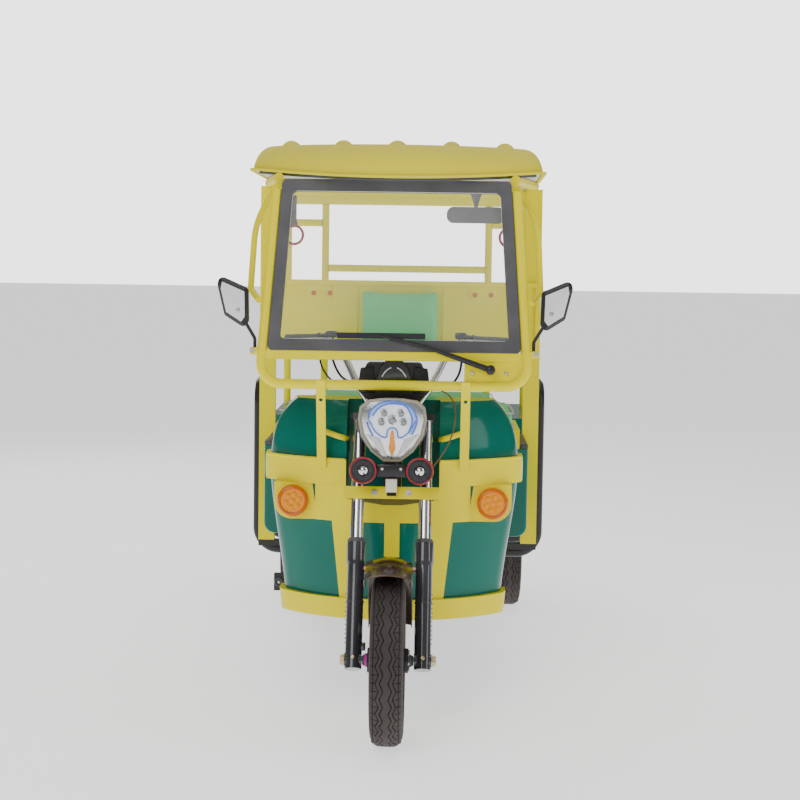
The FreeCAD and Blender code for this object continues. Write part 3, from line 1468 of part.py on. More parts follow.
def main():
    os.makedirs("parts", exist_ok=True)
    front_centre = place(0, 0, tyre_radius)
    left_centre = place(rear_track / 2, wheelbase, tyre_radius)
    right_centre = place(-rear_track / 2, wheelbase, tyre_radius)
    save("front_tyre", [tyre(front_centre)])
    save("rear_left_tyre", [tyre(left_centre)])
    save("rear_right_tyre", [tyre(right_centre)])
    save("front_wheel", [wheel(front_centre, 1, -front_hub_half_length, front_hub_half_length,
                               axle_radius + running_fit)])
    save("rear_left_wheel", [wheel(left_centre, 1, -wheel_hub_inner, hub_radius, stub_radius + running_fit)])
    save("rear_right_wheel", [wheel(right_centre, -1, -wheel_hub_inner, hub_radius, stub_radius + running_fit)])
    save("front_axle", [front_axle()])
    save("fork_sliders", fork_sliders())
    save("fork_tubes", fork_tubes())
    save("fork_yokes", [fork_yokes()])
    save("cross_plate", [cross_plate()])
    save("horns", [horns()])
    save("headlamp_housing", [headlamp_housing()])
    save("headlamp_lens", [headlamp_lens()])
    save("front_mudguard", [front_mudguard()])
    save("handlebar", [handlebar()])
    save("handle_grips", handle_grips())
    save("instrument_cluster", [instrument_cluster()])
    save("steering_head", [steering_head()])
    save("chassis_frame", chassis_frame())
    save("floor_panel", [floor_panel()])
    save("front_cowl", [front_cowl()])
    save("cowl_face", [cowl_face()])
    save("turn_lamps", turn_lamps())
    save("windscreen_frame", [windscreen_frame()])
    save("front_stays", front_stays())
    save("windscreen_rubber", [windscreen_rubber()])
    save("windscreen_glass", [windscreen_glass()])
    save("wiper", [wiper()])
    save("cab_mirror", [cab_mirror()])
    save("side_mirrors", pair(side_mirror()))
    save("grab_rails", grab_rails())
    save("cab_frame", cab_frame())
    save("roof_shell", [roof_shell()])
    save("roof_liner", [roof_liner()])
    save("seat_boxes", seat_boxes())
    save("seat_cushions", seat_cushions())
    save("backrest_boards", backrest_boards())
    save("back_pads", back_pads())
    save("side_panels", side_panels())
    save("rear_body", rear_body())
    save("rear_left_quarter", rear_quarters(1))
    save("rear_right_quarter", rear_quarters(-1))
    save("tail_lamps", tail_lamps())
    save("rear_bumper", [rear_bumper()])
    save("side_guards", side_guards())
    save("battery_block", [battery_block()])
    save("rear_axle", [rear_axle()])
    save("leaf_springs", leaf_springs())
    save("brake_pedal", [brake_pedal()])


main()
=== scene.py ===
# %% [markdown]
# # Dressing an auto rickshaw
# The vehicle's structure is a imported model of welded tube, pressed sheet and moulded shells.
# It could be painted as it is, but a studio picture needs lenses, treads, bolts, padding and cables.
# So every part of the structure gets a finish, and the small or soft things are modelled round it.

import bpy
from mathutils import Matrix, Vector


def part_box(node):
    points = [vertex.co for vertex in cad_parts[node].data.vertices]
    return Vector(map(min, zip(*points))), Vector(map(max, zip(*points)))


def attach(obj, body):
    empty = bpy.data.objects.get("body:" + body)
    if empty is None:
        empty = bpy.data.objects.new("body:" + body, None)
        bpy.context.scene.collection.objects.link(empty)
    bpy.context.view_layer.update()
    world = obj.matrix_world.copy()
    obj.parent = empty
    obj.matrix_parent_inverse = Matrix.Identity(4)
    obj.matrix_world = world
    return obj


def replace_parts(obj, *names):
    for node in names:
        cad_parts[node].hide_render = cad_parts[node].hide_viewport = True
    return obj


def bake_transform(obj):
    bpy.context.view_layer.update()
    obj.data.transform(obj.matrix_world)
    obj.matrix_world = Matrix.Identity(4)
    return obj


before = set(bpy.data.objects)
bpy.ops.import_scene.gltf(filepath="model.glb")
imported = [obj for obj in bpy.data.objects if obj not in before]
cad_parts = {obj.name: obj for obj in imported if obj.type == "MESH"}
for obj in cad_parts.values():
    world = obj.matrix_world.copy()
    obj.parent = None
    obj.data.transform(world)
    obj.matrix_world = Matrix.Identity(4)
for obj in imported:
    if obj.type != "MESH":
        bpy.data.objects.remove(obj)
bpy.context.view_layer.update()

# %% Modules and units
import math

import bmesh
import bpy
from mathutils import Matrix, Vector

mm = 0.001
origin = Vector((0, 0, 0))
side_axis = Vector((1, 0, 0))
length_axis = Vector((0, 1, 0))
up_axis = Vector((0, 0, 1))
ahead = -length_axis
sides = (1, -1)


def placed(name, data):
    made = bpy.data.objects.new(name, data)
    bpy.context.scene.collection.objects.link(made)
    return made


# %% [markdown]
# ## The camera
# A product picture of a vehicle is taken from its front with a long lens, which keeps uprights upright.
# A camera can be aimed with a constraint, but its three angles are known here.
# So its matrix is built from the directions that it looks, rises and faces.

# %% Camera
eye = Vector((0.1160, -6.2077, 1.354))
yaw = -0.0183
pitch = 0.080
roll = 0.014
lens = 84.29
sensor_width = 36.0

forward = Vector((math.sin(yaw) * math.cos(pitch), math.cos(yaw) * math.cos(pitch), -math.sin(pitch)))
level_right = Vector((math.cos(yaw), -math.sin(yaw), 0))
level_up = level_right.cross(forward)
right = level_right * math.cos(roll) + level_up * math.sin(roll)
up = level_up * math.cos(roll) - level_right * math.sin(roll)

camera_data = bpy.data.cameras.new("camera")
camera_data.lens = lens
camera_data.sensor_width = sensor_width
camera = placed("camera", camera_data)
camera.matrix_world = Matrix.Translation(eye) @ Matrix((right, up, -forward)).transposed().to_4x4()
bpy.context.scene.camera = camera
print("camera looks along", tuple(round(value, 3) for value in forward))

# %% [markdown]
# ## Soft light
# A studio picture is lit by large boxes of light and a white room, so that gloss shows broad, soft shapes.
# One strong lamp would throw hard shadows. Four area lamps and a bright world give the room instead.
# The world is darker towards the two sides, where a real studio has its open ends.

# %% World
world = bpy.data.worlds.new("studio")
world.use_nodes = True
bpy.context.scene.world = world
world_tree = world.node_tree
background = world_tree.nodes["Background"]
direction = world_tree.nodes.new("ShaderNodeTexCoord")
spread = world_tree.nodes.new("ShaderNodeSeparateXYZ")
sideways = world_tree.nodes.new("ShaderNodeMath")
sideways.operation = "ABSOLUTE"
room = world_tree.nodes.new("ShaderNodeValToRGB")
room_stops = ((0.0, 1.0), (0.45, 0.95), (0.7, 0.25), (0.85, 0.2), (1.0, 0.7))
while len(room.color_ramp.elements) < len(room_stops):
    room.color_ramp.elements.new(1.0)
for element, (stop, grey) in zip(room.color_ramp.elements, room_stops):
    element.position = stop
    element.color = (grey, grey, grey, 1)
ray = world_tree.nodes.new("ShaderNodeLightPath")
seen = world_tree.nodes.new("ShaderNodeMix")
seen.data_type = "RGBA"
seen.inputs[7].default_value = (10, 10, 10, 1)
world_tree.links.new(direction.outputs["Generated"], spread.inputs[0])
world_tree.links.new(spread.outputs["X"], sideways.inputs[0])
world_tree.links.new(sideways.outputs[0], room.inputs["Fac"])
world_tree.links.new(ray.outputs["Is Camera Ray"], seen.inputs[0])
world_tree.links.new(room.outputs["Color"], seen.inputs[6])
world_tree.links.new(seen.outputs[2], background.inputs["Color"])
background.inputs["Strength"].default_value = 0.3


# %% Lamps
def add_lamp(name, place, target, size, watts):
    data = bpy.data.lights.new(name, "AREA")
    data.shape = "RECTANGLE"
    data.size = size[0]
    data.size_y = size[1]
    data.energy = watts
    lamp = placed(name, data)
    lamp.location = place
    lamp.rotation_euler = (Vector(target) - Vector(place)).to_track_quat("-Z", "Y").to_euler()


add_lamp("front_box", (-1.8, -5.2, 3.6), (0, -0.8, 0.8), (2.6, 2.6), 85)
add_lamp("side_box", (4.2, -2.6, 2.6), (0, -0.4, 0.8), (1.4, 3.0), 40)
add_lamp("top_box", (0, 0.6, 4.6), (0, 0, 0), (4.0, 4.0), 95)
add_lamp("rear_box", (-2.5, 5.0, 3.2), (0, 1.0, 0.8), (2.4, 2.4), 60)

# %% [markdown]
# ## Finishes
# Paint, rubber, chrome and vinyl differ in colour, gloss and fine grain, and each is a tree of nodes.
# Placing nodes one by one hides what a finish does. A small class lets Python's own operators stand for
# the Math nodes, so that a mask reads as the sum it is, and one method adds any other node.


# %% Node maths
class Signal:
    """One output of a node, which Python's operators can work on."""

    def __init__(self, finish, socket):
        self.finish = finish
        self.socket = socket

    def math(self, operation, other):
        return self.finish.node("Math", {"operation": operation}, {0: self, 1: other})

    def __add__(self, other):
        return self.math("ADD", other)

    def __mul__(self, other):
        return self.math("MULTIPLY", other)

    __radd__ = __add__
    __rmul__ = __mul__


# %% Finish builder
class Finish:
    """A material while it is made: its node tree and the shader that ends it."""

    def __init__(self, name, colour, **fixed):
        self.material = bpy.data.materials.new(name)
        self.material.use_nodes = True
        self.material.diffuse_color = (*colour, 1)
        self.tree = self.material.node_tree
        self.shader = self.tree.nodes["Principled BSDF"]
        self.surface(Base_Color=(*colour, 1), **fixed)

    def node(self, kind, settings=None, inputs=None, output=0):
        made = self.tree.nodes.new("ShaderNode" + kind)
        for name, value in (settings or {}).items():
            setattr(made, name, value)
        for key, value in (inputs or {}).items():
            self.feed(made.inputs[key], value)
        return Signal(self, made.outputs[output])

    def feed(self, socket, value):
        if isinstance(value, Signal):
            self.tree.links.new(value.socket, socket)
        else:
            socket.default_value = value

    def surface(self, **values):
        for name, value in values.items():
            self.feed(self.shader.inputs[name.replace("_", " ")], value)
        return self

    def where(self):
        return self.node("TexCoord", output="Object")

    def noise(self, scale, detail=3.0, stretch=(1, 1, 1), roughness=0.5):
        place = self.node("Mapping", inputs={"Vector": self.where(), "Scale": stretch})
        return self.node("TexNoise", inputs={"Vector": place, "Scale": scale, "Detail": detail,
                                             "Roughness": roughness})

    def mix(self, share, first, second):
        return self.node("Mix", {"data_type": "RGBA"}, {0: share, 6: first, 7: second}, 2)

    def remap(self, value, low, high, start=0.0, end=1.0):
        return self.node("MapRange", inputs={0: value, 1: low, 2: high, 3: start, 4: end})

    def relief(self, height, depth, strength=1.0):
        bump = self.node("Bump", inputs={"Height": height, "Distance": depth, "Strength": strength})
        return self.surface(Normal=bump)


# %% [markdown]
# ## Paint and shells
# The tube and pressed sheet are sprayed a bright lemon yellow, which dries with a faint orange peel.
# The cowl and body shells are moulded in a deep green gloss, whose slow waves bend the reflections.
# The roof is moulded too and left matt, its top tinted beige, part dust and part painted reflection.
# All three share one recipe with other values.


# %% Paint recipes
def peel_paint(name, colour, shade, roughness, coat, peel, wave, film_weight):
    finish = Finish(name, colour, Coat_Weight=coat, Coat_Roughness=0.06, Specular_IOR_Level=0.12)
    cloudy = finish.noise(2.4, 4.0)
    tone = finish.mix(finish.remap(cloudy, 0.35, 0.7), (*colour, 1), (*shade, 1))
    grain = finish.noise(900.0, 2.0)
    slow = finish.noise(wave, 1.0)
    specks = finish.noise(140.0, 5.0, roughness=0.7)
    # Faces that look up get a patchy beige film, partly dust and partly painted reflection of the bright
    # room.
    facing_up = finish.node("SeparateXYZ", inputs={0: finish.node("NewGeometry", output="Normal")}, output="Z")
    film = finish.remap(facing_up, 0.2, 1.0) * finish.remap(specks, 0.4, 0.75) * film_weight
    finish.surface(Base_Color=finish.mix(film, tone, (0.56, 0.46, 0.3, 1)),
                   Roughness=finish.remap(cloudy, 0.3, 0.75, roughness, roughness + 0.1) + film * 0.3)
    return finish.relief(grain * peel + slow * (1.0 - peel), 0.0012)


yellow = peel_paint("yellow_paint", (0.95, 0.83, 0.0), (0.92, 0.77, 0.0), 0.34, 0.1, 0.08, 9.0, 0.12)
green = peel_paint("green_shell", (0.0, 0.15, 0.11), (0.002, 0.175, 0.13), 0.12, 0.25, 0.02, 7.0, 0.06)
# The roof's strong beige film is part dust and part painted reflection of the bright room above it.
roof_yellow = peel_paint("roof_shell_paint", (0.86, 0.76, 0.03), (0.82, 0.70, 0.04), 0.6, 0.0, 0.3, 14.0, 1.1)
seam_black = peel_paint("black_paint", (0.028, 0.027, 0.03), (0.035, 0.034, 0.036), 0.32, 0.3, 0.12, 20.0,
                        0.1)
red = peel_paint("red_paint", (0.42, 0.018, 0.035), (0.36, 0.015, 0.03), 0.3, 0.5, 0.1, 20.0, 0.05)
pearl = peel_paint("pearl_paint", (0.86, 0.86, 0.87), (0.8, 0.8, 0.82), 0.3, 0.3, 0.1, 20.0, 0.05)
cream = peel_paint("cream_paint", (0.82, 0.78, 0.62), (0.78, 0.73, 0.56), 0.4, 0.2, 0.1, 20.0, 0.05)
print("materials so far:", len(bpy.data.materials))

# %% [markdown]
# ## Metal, rubber and plastic
# The fork tubes are chromed, the bolts are bright steel, and the grips, housings and tyres are moulded.
# Bare metal has little colour of its own, so its roughness and fine lines make it look real.
# A picture could give the grain of a moulded part. A noise pattern needs no file and fits every piece.


# %% Metal recipes
def worked_metal(name, colour, roughness, brushed, stretch=(1, 1, 30)):
    finish = Finish(name, colour, Metallic=1.0)
    lines = finish.noise(60.0, 4.0, stretch)
    clouds = finish.noise(12.0, 4.0)
    finish.surface(Roughness=finish.remap(clouds, 0.3, 0.7, roughness, roughness + brushed),
                   Base_Color=finish.mix(finish.remap(lines, 0.3, 0.8), (*colour, 1),
                                         (*[channel * 0.82 for channel in colour], 1)))
    return finish.relief(lines, 0.0002 * (1 + brushed * 10), 0.4)


chrome = worked_metal("chrome", (0.83, 0.83, 0.85), 0.05, 0.05)
steel = worked_metal("bright_steel", (0.6, 0.59, 0.57), 0.25, 0.12)
brass = worked_metal("brass_nut", (0.62, 0.5, 0.28), 0.3, 0.1)
silver = worked_metal("mirror_back", (0.82, 0.83, 0.84), 0.3, 0.1, (1, 1, 1))
mirror = worked_metal("mirror_silver", (0.9, 0.91, 0.92), 0.02, 0.02, (1, 1, 1))


# %% Rubber and plastic recipes
def moulded(name, colour, roughness, grain_scale, grain_depth, coat=0.0):
    finish = Finish(name, colour, Coat_Weight=coat, Coat_Roughness=0.12, Specular_IOR_Level=0.25)
    patches = finish.noise(9.0, 5.0)
    grain = finish.noise(grain_scale, 4.0)
    worn = tuple(min(1.0, channel * 1.35 + 0.006) for channel in colour)
    finish.surface(Base_Color=finish.mix(finish.remap(patches, 0.4, 0.75), (*colour, 1), (*worn, 1)),
                   Roughness=finish.remap(grain, 0.3, 0.7, roughness - 0.05, roughness + 0.08))
    return finish.relief(grain, grain_depth)


rubber = moulded("window_rubber", (0.085, 0.085, 0.09), 0.5, 420.0, 0.0004)
black_plastic = moulded("black_plastic", (0.02, 0.019, 0.023), 0.36, 700.0, 0.0003, 0.25)
gloss_black = moulded("gloss_black", (0.042, 0.042, 0.049), 0.14, 500.0, 0.00005, 0.9)
grey_plastic = moulded("grey_plastic", (0.12, 0.12, 0.125), 0.45, 600.0, 0.0003)
mudguard_brown = moulded("mudguard_brown", (0.042, 0.022, 0.01), 0.2, 300.0, 0.00006, 0.5)
amber_edge = moulded("amber_edge", (0.05, 0.022, 0.007), 0.12, 300.0, 0.00006, 1.0)
tyre_rubber = moulded("tyre_rubber", (0.055, 0.046, 0.044), 0.72, 260.0, 0.0007)
mat_rubber = moulded("floor_mat", (0.06, 0.06, 0.064), 0.7, 240.0, 0.0006)
magenta = moulded("magenta_cap", (0.62, 0.03, 0.4), 0.4, 500.0, 0.0001)
cable_black = moulded("cable_black", (0.015, 0.015, 0.016), 0.4, 900.0, 0.0002)
cable_brown = moulded("cable_brown", (0.2, 0.1, 0.04), 0.45, 900.0, 0.0002)

# %% [markdown]
# ## Vinyl, glass and lenses
# Seat vinyl has a pebbled grain that is a cell pattern, finer than any mesh should be, so it is relief.
# Window glass and lens covers are thin and clear. Light that is bent through every layer renders slowly,
# so they are mostly see-through sheets with their own gloss, a little milky as in the picture.


# %% Vinyl recipe
def vinyl(name, colour, dull):
    finish = Finish(name, colour, Coat_Weight=0.12, Coat_Roughness=0.3, Sheen_Weight=0.15)
    pebbles = finish.node("TexVoronoi", {"feature": "DISTANCE_TO_EDGE"},
                          {"Vector": finish.where(), "Scale": 420.0})
    wrinkles = finish.noise(26.0, 6.0, roughness=0.6)
    sat_on = finish.noise(5.0, 3.0)
    tone = finish.mix(finish.remap(sat_on, 0.35, 0.7), (*colour, 1), (*dull, 1))
    # The hollows between the pebbles are painted darker, as painted shade in the grain.
    shaded_creases = finish.remap(pebbles, 0.0, 0.12)
    finish.surface(Base_Color=finish.mix(shaded_creases, (*[channel * 0.72 for channel in colour], 1), tone),
                   Roughness=finish.remap(wrinkles, 0.3, 0.7, 0.42, 0.58))
    return finish.relief(shaded_creases * 0.35 + wrinkles, 0.0012)


seat_green = vinyl("seat_green", (0.10, 0.78, 0.22), (0.14, 0.84, 0.30))
seat_piping = vinyl("seat_piping", (0.75, 0.72, 0.66), (0.68, 0.62, 0.58))


# %% Lining recipe
def woven_lining(name, colour):
    finish = Finish(name, colour, Sheen_Weight=0.2)
    across = finish.node("TexWave", {"bands_direction": "X"}, {"Vector": finish.where(), "Scale": 160.0})
    along = finish.node("TexWave", {"bands_direction": "Y"}, {"Vector": finish.where(), "Scale": 160.0})
    stains = finish.noise(4.0, 6.0)
    finish.surface(Base_Color=finish.mix(finish.remap(stains, 0.35, 0.75), (*colour, 1),
                                         (*[channel * 0.7 for channel in colour], 1)),
                   Roughness=finish.remap(stains, 0.3, 0.7, 0.45, 0.65))
    return finish.relief(across * along, 0.0006, 0.6)


lining = woven_lining("roof_lining", (0.85, 0.86, 0.86))


# %% Clear and coloured lens recipes
def clear_sheet(name, colour, alpha, roughness=0.02, film_weight=0.1):
    finish = Finish(name, colour, Specular_IOR_Level=0.3, Coat_Weight=0.2, Coat_Roughness=0.02)
    specks = finish.noise(60.0, 8.0, roughness=0.8)
    smears = finish.noise(3.0, 4.0, (1, 1, 4))
    film = finish.remap(specks, 0.55, 0.8) * film_weight + finish.remap(smears, 0.4, 0.8) * (film_weight * 0.5)
    finish.surface(Alpha=film + alpha, Roughness=finish.remap(smears, 0.3, 0.7, roughness, roughness + 0.04))
    finish.material.surface_render_method = "BLENDED"
    return finish


def coloured_lens(name, colour, glow, cells=180.0):
    finish = Finish(name, colour, Coat_Weight=0.25, Coat_Roughness=0.03, Specular_IOR_Level=0.2)
    prisms = finish.node("TexVoronoi", {"feature": "F1"}, {"Vector": finish.where(), "Scale": cells})
    lit = finish.remap(prisms, 0.0, 0.6)
    pale = tuple(min(1.0, channel * 1.2) for channel in colour)
    finish.surface(Base_Color=finish.mix(lit, (*pale, 1), (*colour, 1)),
                   Roughness=finish.remap(prisms, 0.0, 0.8, 0.1, 0.3))
    finish.surface(Emission_Color=(*colour, 1), Emission_Strength=glow)
    return finish.relief(prisms, 0.001)


window_glass = clear_sheet("window_glass", (0.94, 0.97, 0.95), 0.06, film_weight=0.05)
lens_cover = clear_sheet("lens_cover", (0.97, 0.97, 0.95), 0.05, film_weight=0.02)
lens_rim = clear_sheet("lens_rim", (0.45, 0.41, 0.3), 0.7, 0.1)
amber = coloured_lens("amber_lens", (0.95, 0.33, 0.0), 0.0)
amber_rim = coloured_lens("amber_rim", (0.66, 0.13, 0.0), 0.0, 90.0)
tail_red = coloured_lens("tail_red", (0.55, 0.012, 0.01), 0.05, 150.0)
# This white glows a little. It makes the tail lamps' pale bands and the painted highlights on the cluster.
reflector_and_highlight = coloured_lens("reflector_white", (0.80, 0.82, 0.86), 0.12, 60.0)
pale_guide = coloured_lens("pale_guide", (0.42, 0.58, 0.9), 0.15, 90.0)
light_guide = coloured_lens("light_guide_blue", (0.05, 0.16, 0.62), 0.25, 120.0)
lamp_cell = worked_metal("lamp_cell", (0.32, 0.33, 0.34), 0.3, 0.1, (1, 1, 1))
lamp_white = coloured_lens("lamp_white", (0.80, 0.84, 0.9), 0.35, 70.0)
print("materials so far:", len(bpy.data.materials))

# %% [markdown]
# ## Painting the structure
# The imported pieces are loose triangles, so a curve would show its facets.
# Their meshes stay as they are. A Weld modifier joins the triangles, the faces are shaded smooth, and an
# Edge Split modifier keeps each fold crisp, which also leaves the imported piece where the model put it.

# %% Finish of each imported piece
finishes = {
    seam_black: "steering_head chassis_frame rear_bumper side_guards rear_axle leaf_springs brake_pedal "
                "fork_yokes front_wheel rear_left_wheel rear_right_wheel",
    yellow: "cowl_face windscreen_frame front_stays grab_rails cab_frame seat_boxes backrest_boards "
            "cross_plate",
    green: "front_cowl side_panels rear_body rear_left_quarter rear_right_quarter",
    black_plastic: "wiper side_mirrors battery_block horns headlamp_housing instrument_cluster",
    tyre_rubber: "front_tyre rear_left_tyre rear_right_tyre",
    chrome: "fork_tubes handlebar",
    rubber: "windscreen_rubber handle_grips",
    seat_green: "seat_cushions back_pads",
    mat_rubber: "floor_panel",
    amber: "turn_lamps",
    window_glass: "windscreen_glass",
    lens_cover: "headlamp_lens",
    grey_plastic: "cab_mirror",
    roof_yellow: "roof_shell",
    lining: "roof_liner",
    tail_red: "tail_lamps",
    gloss_black: "fork_sliders",
    mudguard_brown: "front_mudguard",
    steel: "front_axle",
}
fold = math.radians(32)


def paint_node(name, finish):
    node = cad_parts[name]
    node.data.materials.clear()
    node.data.materials.append(finish.material)
    node.data.shade_smooth()
    weld = node.modifiers.new("weld", "WELD")
    weld.merge_threshold = 0.01 * mm
    split = node.modifiers.new("folds", "EDGE_SPLIT")
    split.split_angle = fold


for finish, group in finishes.items():
    for name in group.split():
        paint_node(name, finish)
print("painted", sum(len(group.split()) for group in finishes.values()), "of", len(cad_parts))

# %% [markdown]
# ## Floor
# A studio floor runs on far behind the object, so the sheet is far wider than the vehicle.
# A plain white floor would look grey under soft lamps, so this one also gives off light of its own.

# %% Floor
floor_finish = Finish("studio_floor", (0.93, 0.93, 0.93), Roughness=0.8, Emission_Color=(1, 1, 1, 1),
                      Emission_Strength=1.0, Specular_IOR_Level=0.1)
floor_mesh = bmesh.new()
bmesh.ops.create_grid(floor_mesh, x_segments=1, y_segments=1, size=60)
floor_data = bpy.data.meshes.new("floor")
floor_mesh.to_mesh(floor_data)
floor_mesh.free()
floor_data.materials.append(floor_finish.material)
placed("floor", floor_data)

# %% [markdown]
# ## Where things go
# The structure is measured from the front axle, and the fork leans back from it.
# Typing bare coordinates hides that. Two small functions take a place in the maker's own terms,
# and one more turns a finished mesh into a piece that rides on a body.


# %% Places and pieces
front_axle_y = -1156.5
axle_z = 233.5
rake = math.radians(24)


def at(x, back, z):
    return Vector((x, front_axle_y + back, z))


def on_fork(x, rearward, along):
    return Matrix.Rotation(-rake, 3, "X") @ Vector((x, rearward, along)) + at(0, 0, axle_z)


fork_half = 95.0
fork_ahead = on_fork(0, -1, 0) - on_fork(0, 0, 0)
fork_up = on_fork(0, 0, 1) - on_fork(0, 0, 0)


def piece(name, mesh, finish, body, crease=32):
    bmesh.ops.remove_doubles(mesh, verts=mesh.verts, dist=0.001)
    bmesh.ops.recalc_face_normals(mesh, faces=mesh.faces)
    bmesh.ops.scale(mesh, vec=(mm, mm, mm), verts=mesh.verts)
    data = bpy.data.meshes.new(name)
    mesh.to_mesh(data)
    mesh.free()
    data.shade_smooth()
    data.materials.append(finish.material)
    made = placed(name, data)
    made.modifiers.new("folds", "EDGE_SPLIT").split_angle = math.radians(crease)
    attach(made, body)
    print(name, "has", len(data.polygons), "faces and rides on", body)
    return made


# %% [markdown]
# ## Shapes of the small parts
# Bolts, rims and collars are turned, bars and levers are bent from rod, and the rest is cut from plate.
# Blender's own primitives and modifiers could make each part as an object of its own.
# Here one bmesh takes many shapes and becomes one piece, so each helper adds its shape to a given mesh.


# %% Turned and straight shapes
def turn_to(axis, centre):
    turn = up_axis.rotation_difference(Vector(axis).normalized())
    return Matrix.Translation(centre) @ turn.to_matrix().to_4x4()


def rod(mesh, start, end, radius, far_radius=None, segments=24):
    far_radius = radius if far_radius is None else far_radius
    bmesh.ops.create_cone(mesh, cap_ends=True, segments=segments, radius1=radius, radius2=far_radius,
                          depth=(end - start).length, matrix=turn_to(end - start, (start + end) / 2))


def turned(mesh, profile, axis, centre, segments=40):
    """Spins a line of (radius, along) points round an axis through a centre."""
    before = set(mesh.verts)
    line = [mesh.verts.new((radius, 0, along)) for radius, along in profile]
    edges = [mesh.edges.new(pair) for pair in zip(line, line[1:])]
    bmesh.ops.spin(mesh, geom=line + edges, cent=origin, axis=up_axis, angle=math.tau, steps=segments,
                   use_merge=True)
    new = [vert for vert in mesh.verts if vert not in before]
    bmesh.ops.transform(mesh, matrix=turn_to(axis, centre), verts=new)


def round_turns(count, first=0.0):
    """Angles that share a full turn evenly."""
    return [first + math.tau * number / count for number in range(count)]


def hexagon(mesh, centre, axis, across, height):
    bmesh.ops.create_cone(mesh, cap_ends=True, segments=6, radius1=across, radius2=across, depth=height,
                          matrix=turn_to(axis, centre + Vector(axis).normalized() * height / 2))


def disc(mesh, radius, depth, axis, centre, segments=20):
    turned(mesh, [(0, 0), (radius, 0), (radius, depth), (0, depth)], axis, centre, segments)


def dome_bolt(mesh, centre, axis, radius, height):
    turned(mesh, [(0, 0), (radius, 0), (radius, height * 0.4), (radius * 0.75, height * 0.85), (0, height)],
           axis, centre, 20)


# %% Flat and bent shapes
def round_edges(mesh, verts, rounding, segments):
    edges = {edge for vert in verts for edge in vert.link_edges}
    bmesh.ops.bevel(mesh, geom=list(edges), offset=rounding, offset_type="OFFSET", segments=segments,
                    profile=0.5, affect="EDGES", material=-1)


def slab(mesh, low, high, rounding, segments=2):
    low = Vector(low)
    high = Vector(high)
    size = high - low
    place = Matrix.Translation((low + high) / 2) @ Matrix.Diagonal((*size, 1))
    made = bmesh.ops.create_cube(mesh, size=1, matrix=place)
    round_edges(mesh, made["verts"], rounding, segments)


def prism(mesh, outline, depth, rounding, segments=2):
    """A flat outline pulled along a vector, with its edges rounded."""
    face = mesh.faces.new([mesh.verts.new(point) for point in outline])
    pulled = bmesh.ops.extrude_face_region(mesh, geom=[face], use_keep_orig=True)["geom"]
    far = [item for item in pulled if isinstance(item, bmesh.types.BMVert)]
    bmesh.ops.translate(mesh, vec=depth, verts=far)
    round_edges(mesh, list(face.verts) + far, rounding, segments)


def smooth_line(name, points, radius, roundness, smooth):
    """A curve with some thickness, smooth between its control points."""
    line = bpy.data.curves.new(name, "CURVE")
    line.dimensions = "3D"
    run = line.splines.new("NURBS")
    run.points.add(len(points) - 1)
    for control, point in zip(run.points, points):
        control.co = (*point, 1)
    run.order_u = 3
    run.use_endpoint_u = True
    run.resolution_u = smooth
    line.bevel_depth = radius
    line.bevel_resolution = roundness
    return line


def bent_bar(mesh, points, radius, smooth=8):
    line = smooth_line("line", points, radius, 4, smooth)
    line.use_fill_caps = True
    holder = bpy.data.objects.new("line", line)
    swept = bpy.data.meshes.new_from_object(holder)
    mesh.from_mesh(swept)
    bpy.data.objects.remove(holder)
    bpy.data.curves.remove(line)
    bpy.data.meshes.remove(swept)


# %% [markdown]
# ## Tyres
# A vehicle tyre of this size has a round section with a tread of zigzag grooves and shoulder blocks.
# A bump map could fake the grooves, but they show against the light at the tyre's edge.
# So the section is spun round the axle, its tread lines are zigzagged, and each rib is raised by an inset.

# %% Tyres
tyre_section = ((28.4, 152.6), (29.6, 167), (38, 172), (44.4, 183), (45.8, 197), (44, 209), (39.5, 218.5),
                (33, 223.5), (22.5, 227), (11.5, 228.6))
tread_steps = 64
crown_radius = 217.0
zigzag_reach = 30.0
zigzag = 4.6
middle_edge = 8.0
rib_inner = 12.0
rib_outer = 24.0
block_outer = 38.0
rib_height = 4.2
groove_half = 1.7


def treaded_tyre(name, node, body, centre):
    mesh = bmesh.new()
    section = [(radius, -x) for x, radius in tyre_section] + [(radius, x) for x, radius in tyre_section[::-1]]
    turned(mesh, section + section[:1], side_axis, origin, tread_steps)
    bmesh.ops.remove_doubles(mesh, verts=mesh.verts, dist=0.001)
    bmesh.ops.recalc_face_normals(mesh, faces=mesh.faces)
    crown = [face for face in mesh.faces if face.calc_center_median().yz.length > crown_radius]
    step = math.tau / tread_steps
    for vert in {vert for face in crown for vert in face.verts if abs(vert.co.x) < zigzag_reach}:
        number = round(math.atan2(vert.co.z, vert.co.y) / step)
        vert.co.x += zigzag if number % 2 else -zigzag
    across = {face: face.calc_center_median().x for face in crown}
    ribs = [[face for face, x in across.items() if abs(x) < middle_edge]]
    for side in sides:
        ribs.append([face for face, x in across.items() if rib_inner < side * x < rib_outer])
    blocks = [face for face, x in across.items() if rib_outer < abs(x) < block_outer]
    for rib in ribs:
        bmesh.ops.inset_region(mesh, faces=rib, thickness=groove_half, depth=rib_height, use_even_offset=True)
    bmesh.ops.inset_individual(mesh, faces=blocks, thickness=groove_half, depth=rib_height * 0.8)
    bmesh.ops.rotate(mesh, cent=origin, verts=mesh.verts, matrix=Matrix.Rotation(step / 2, 3, "X"))
    bmesh.ops.translate(mesh, vec=centre, verts=mesh.verts)
    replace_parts(piece(name, mesh, tyre_rubber, body, 40), node)


